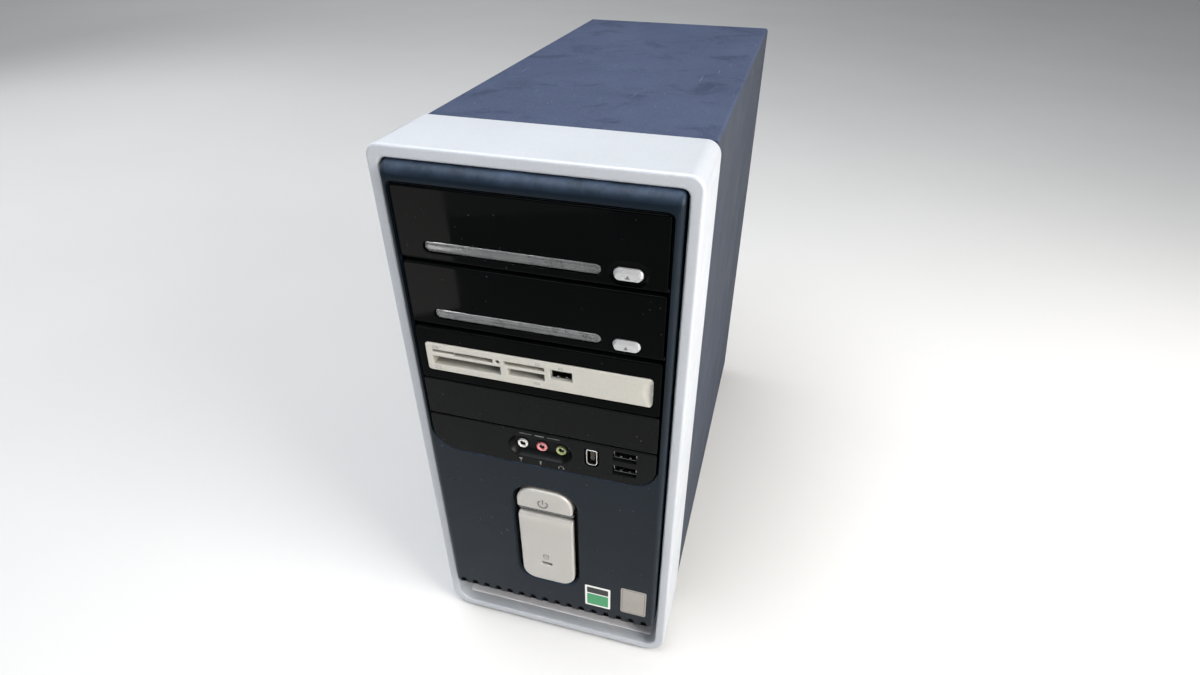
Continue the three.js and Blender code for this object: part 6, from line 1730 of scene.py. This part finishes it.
m.box(60.0, 66.4, 161.2, 168.0, 68.6, 119.4, BLACK, 0.5, 2, "x")
m.build("optical_ribbon", CH, "optical_ribbon_cable", wn=False)
m = M()
st = [((-28, 209.4, 157.5), (1, 0, 0)), ((-28, 213, 157.5), (1, 0, 0)), ((-27, 216, 151), (1, 0, 0.1)), ((-22, 213, 138), (0.9, 0, 0.4)), ((-10, 205, 122), (0.7, 0, 0.8)), ((6, 192, 108), (0.4, 0, 1)),
      ((22, 176, 100), (0.2, 0, 1)), ((38, 160, 95), (0.1, 0, 1)), ((50, 151.5, 94), (0, 0, 1)), ((58, 150.5, 94), (0, 0, 1)), ((65.8, 150.5, 94), (0, 0, 1))]
ribbon(m, st, 39.5, 40)
m.box(-50, -6, 206.5, 214.2, 153.6, 161.6, BLACK, 0.5)
m.box(60.0, 66.4, 147.2, 154.0, 68.6, 119.4, BLACK, 0.5, 2, "x")
m.build("drive_ribbon", CH, "hard_drive_cable", wn=False)
m = M()
pts = [(58, 262, 296.4), (57, 258, 284), (48, 240, 272), (36, 220, 262), (31, 200, 256), (31, 180, 250), (38, 162, 244), (45, 153.5, 241)]
m.tube(smooth(pts, 6), 4.5, SLEEVE, 16)
cols = [CABLE_Y, CABLE_R, CABLE_K, CABLE_K, CABLE_R, CABLE_Y, CABLE_K, CABLE_B, CABLE_K, CABLE_G]
for k in range(10):
    for r in (0, 1):
        z, d = 218.1 + k * 4.9, 148.9 + r * 4.3
        a = (42 + 0.5 * r, 153 + (k - 4.5) * 0.25, 241 + (k - 4.5) * 0.55)
        m.tube(smooth([a, (46, 152 + r, 241 + (z - 241) * 0.35), (50, 151 + r * 2, 241 + (z - 241) * 0.8), (54.5, d, z), (58.5, d, z)], 3), 0.85, cols[(k + r * 3) % 10], 7)
m.box(57.4, 62.6, 146.6, 155.4, 214.6, 265.4, IVORY, 0.4, 2, "x")
m.build("power_loom", CH, "main_power_cable", wn=False)

# loose wires that have no counterpart in the frame: drive power and front panel
m = M()
for k, mt in enumerate((CABLE_Y, CABLE_K, CABLE_K, CABLE_R)):
    off = k * 2.1
    m.tube(smooth([(50 + off, 250, 296.5), (50 + off, 246, 290), (48 + off * 0.8, 230, 292), (38 + off, 212, 318), (35 + off * 2.4, 202, 336), (34.4 + k * 5.08, 196, 337.6)], 5), 0.95, mt, 8)
    m.tube(smooth([(46 + off, 250, 297.0), (44 + off, 242, 284), (34 + off, 232, 250), (22 + off, 226, 210), (12 + off, 222, 175), (6.4 + k * 5.08, 219, 158)], 5), 0.95, mt, 8)
m.box(31.6, 52.6, 184.8, 196.4, 334.0, 341.0, IVORY, 0.6)
m.box(4.0, 24.2, 207, 219.4, 153.6, 160.6, IVORY, 0.6)
m.build("drive_power_wires", CH, (), wn=False)
m = M()
for k, mt in enumerate((CABLE_R, CABLE_K, CABLE_B, CABLE_K, CABLE_G, CABLE_K)):
    m.tube(smooth([(-6 + k * 1.6, 58, 140), (-2 + k * 1.7, 72, 130), (12 + k * 1.2, 96, 108), (38, 118 + k * 1.5, 78), (58, 138 + k * 1.8, 64), (66, 150 + k * 2.4, 60), (68.5, 150.3 + k * 2.54, 59.6)], 5), 0.75, mt, 7)
m.build("front_wires", CH, (), wn=False)

# ================================================================ floor and light
SCENE.view_settings.view_transform = "Standard"
SCENE.view_settings.look = "None"
floor_me = bpy.data.meshes.new("floor")
floor_me.from_pydata([(-9, -9, 0), (9, -9, 0), (9, 9, 0), (-9, 9, 0)], [], [(0, 1, 2, 3)])
floor = bpy.data.objects.new("floor", floor_me)
SCENE.collection.objects.link(floor)
fm = NB("floor_pale")
fcol = fm.mix(fm.ramp(fm.noise(1.5, 3), 0.3, 0.7), (0.60, 0.60, 0.60), (0.63, 0.63, 0.63))
fm.link(fcol, fm.b.inputs["Base Color"])
fm.b.inputs["Roughness"].default_value = 0.9
fm.b.inputs["Specular IOR Level"].default_value = 0.1
floor_me.materials.append(fm.m)

world = bpy.data.worlds.new("studio")
SCENE.world = world
world.use_nodes = True
bg = world.node_tree.nodes["Background"]
bg.inputs["Color"].default_value = (0.93, 0.96, 1.0, 1)
bg.inputs["Strength"].default_value = 0.30


def area(name, loc, target, size, power, color=(1, 1, 1), size_y=None):
    li = bpy.data.lights.new(name, "AREA")
    li.shape = "RECTANGLE"
    li.size, li.size_y = size, size_y or size
    li.energy = power
    li.color = color
    ob = bpy.data.objects.new(name, li)
    SCENE.collection.objects.link(ob)
    ob.location = loc
    ob.rotation_euler = (Vector(target) - Vector(loc)).to_track_quat("-Z", "Y").to_euler()
    ob.visible_camera = False
    return ob


area("key_top", (-0.30, -0.35, 1.95), (0, 0, 0.25), 1.3, 27, (0.97, 0.985, 1.0))
area("side_right", (1.05, -0.46, 0.72), (0.05, -0.1, 0.2), 0.7, 24, (1, 0.962, 0.905))
area("back_floor", (-2.2, 3.2, 2.8), (-2.0, 3.2, 0), 3.0, 34, (1, 1, 1))
area("left_soft", (-1.9, 0.35, 1.35), (-0.1, 0.1, 0.2), 1.5, 16, (1, 1, 1))
area("front_strip", (-0.30, -0.58, 0.15), (-0.04, -0.2, 0.20), 0.07, 0.16, (1, 0.93, 0.90), 0.24)
area("roll", (-0.43, -0.63, 1.42), (0, -0.2, 0.37), 0.45, 1.5, (0.72, 0.84, 1.0))
area("low_front", (-0.30, -0.95, 0.14), (0, -0.2, 0.03), 0.3, 0.25)
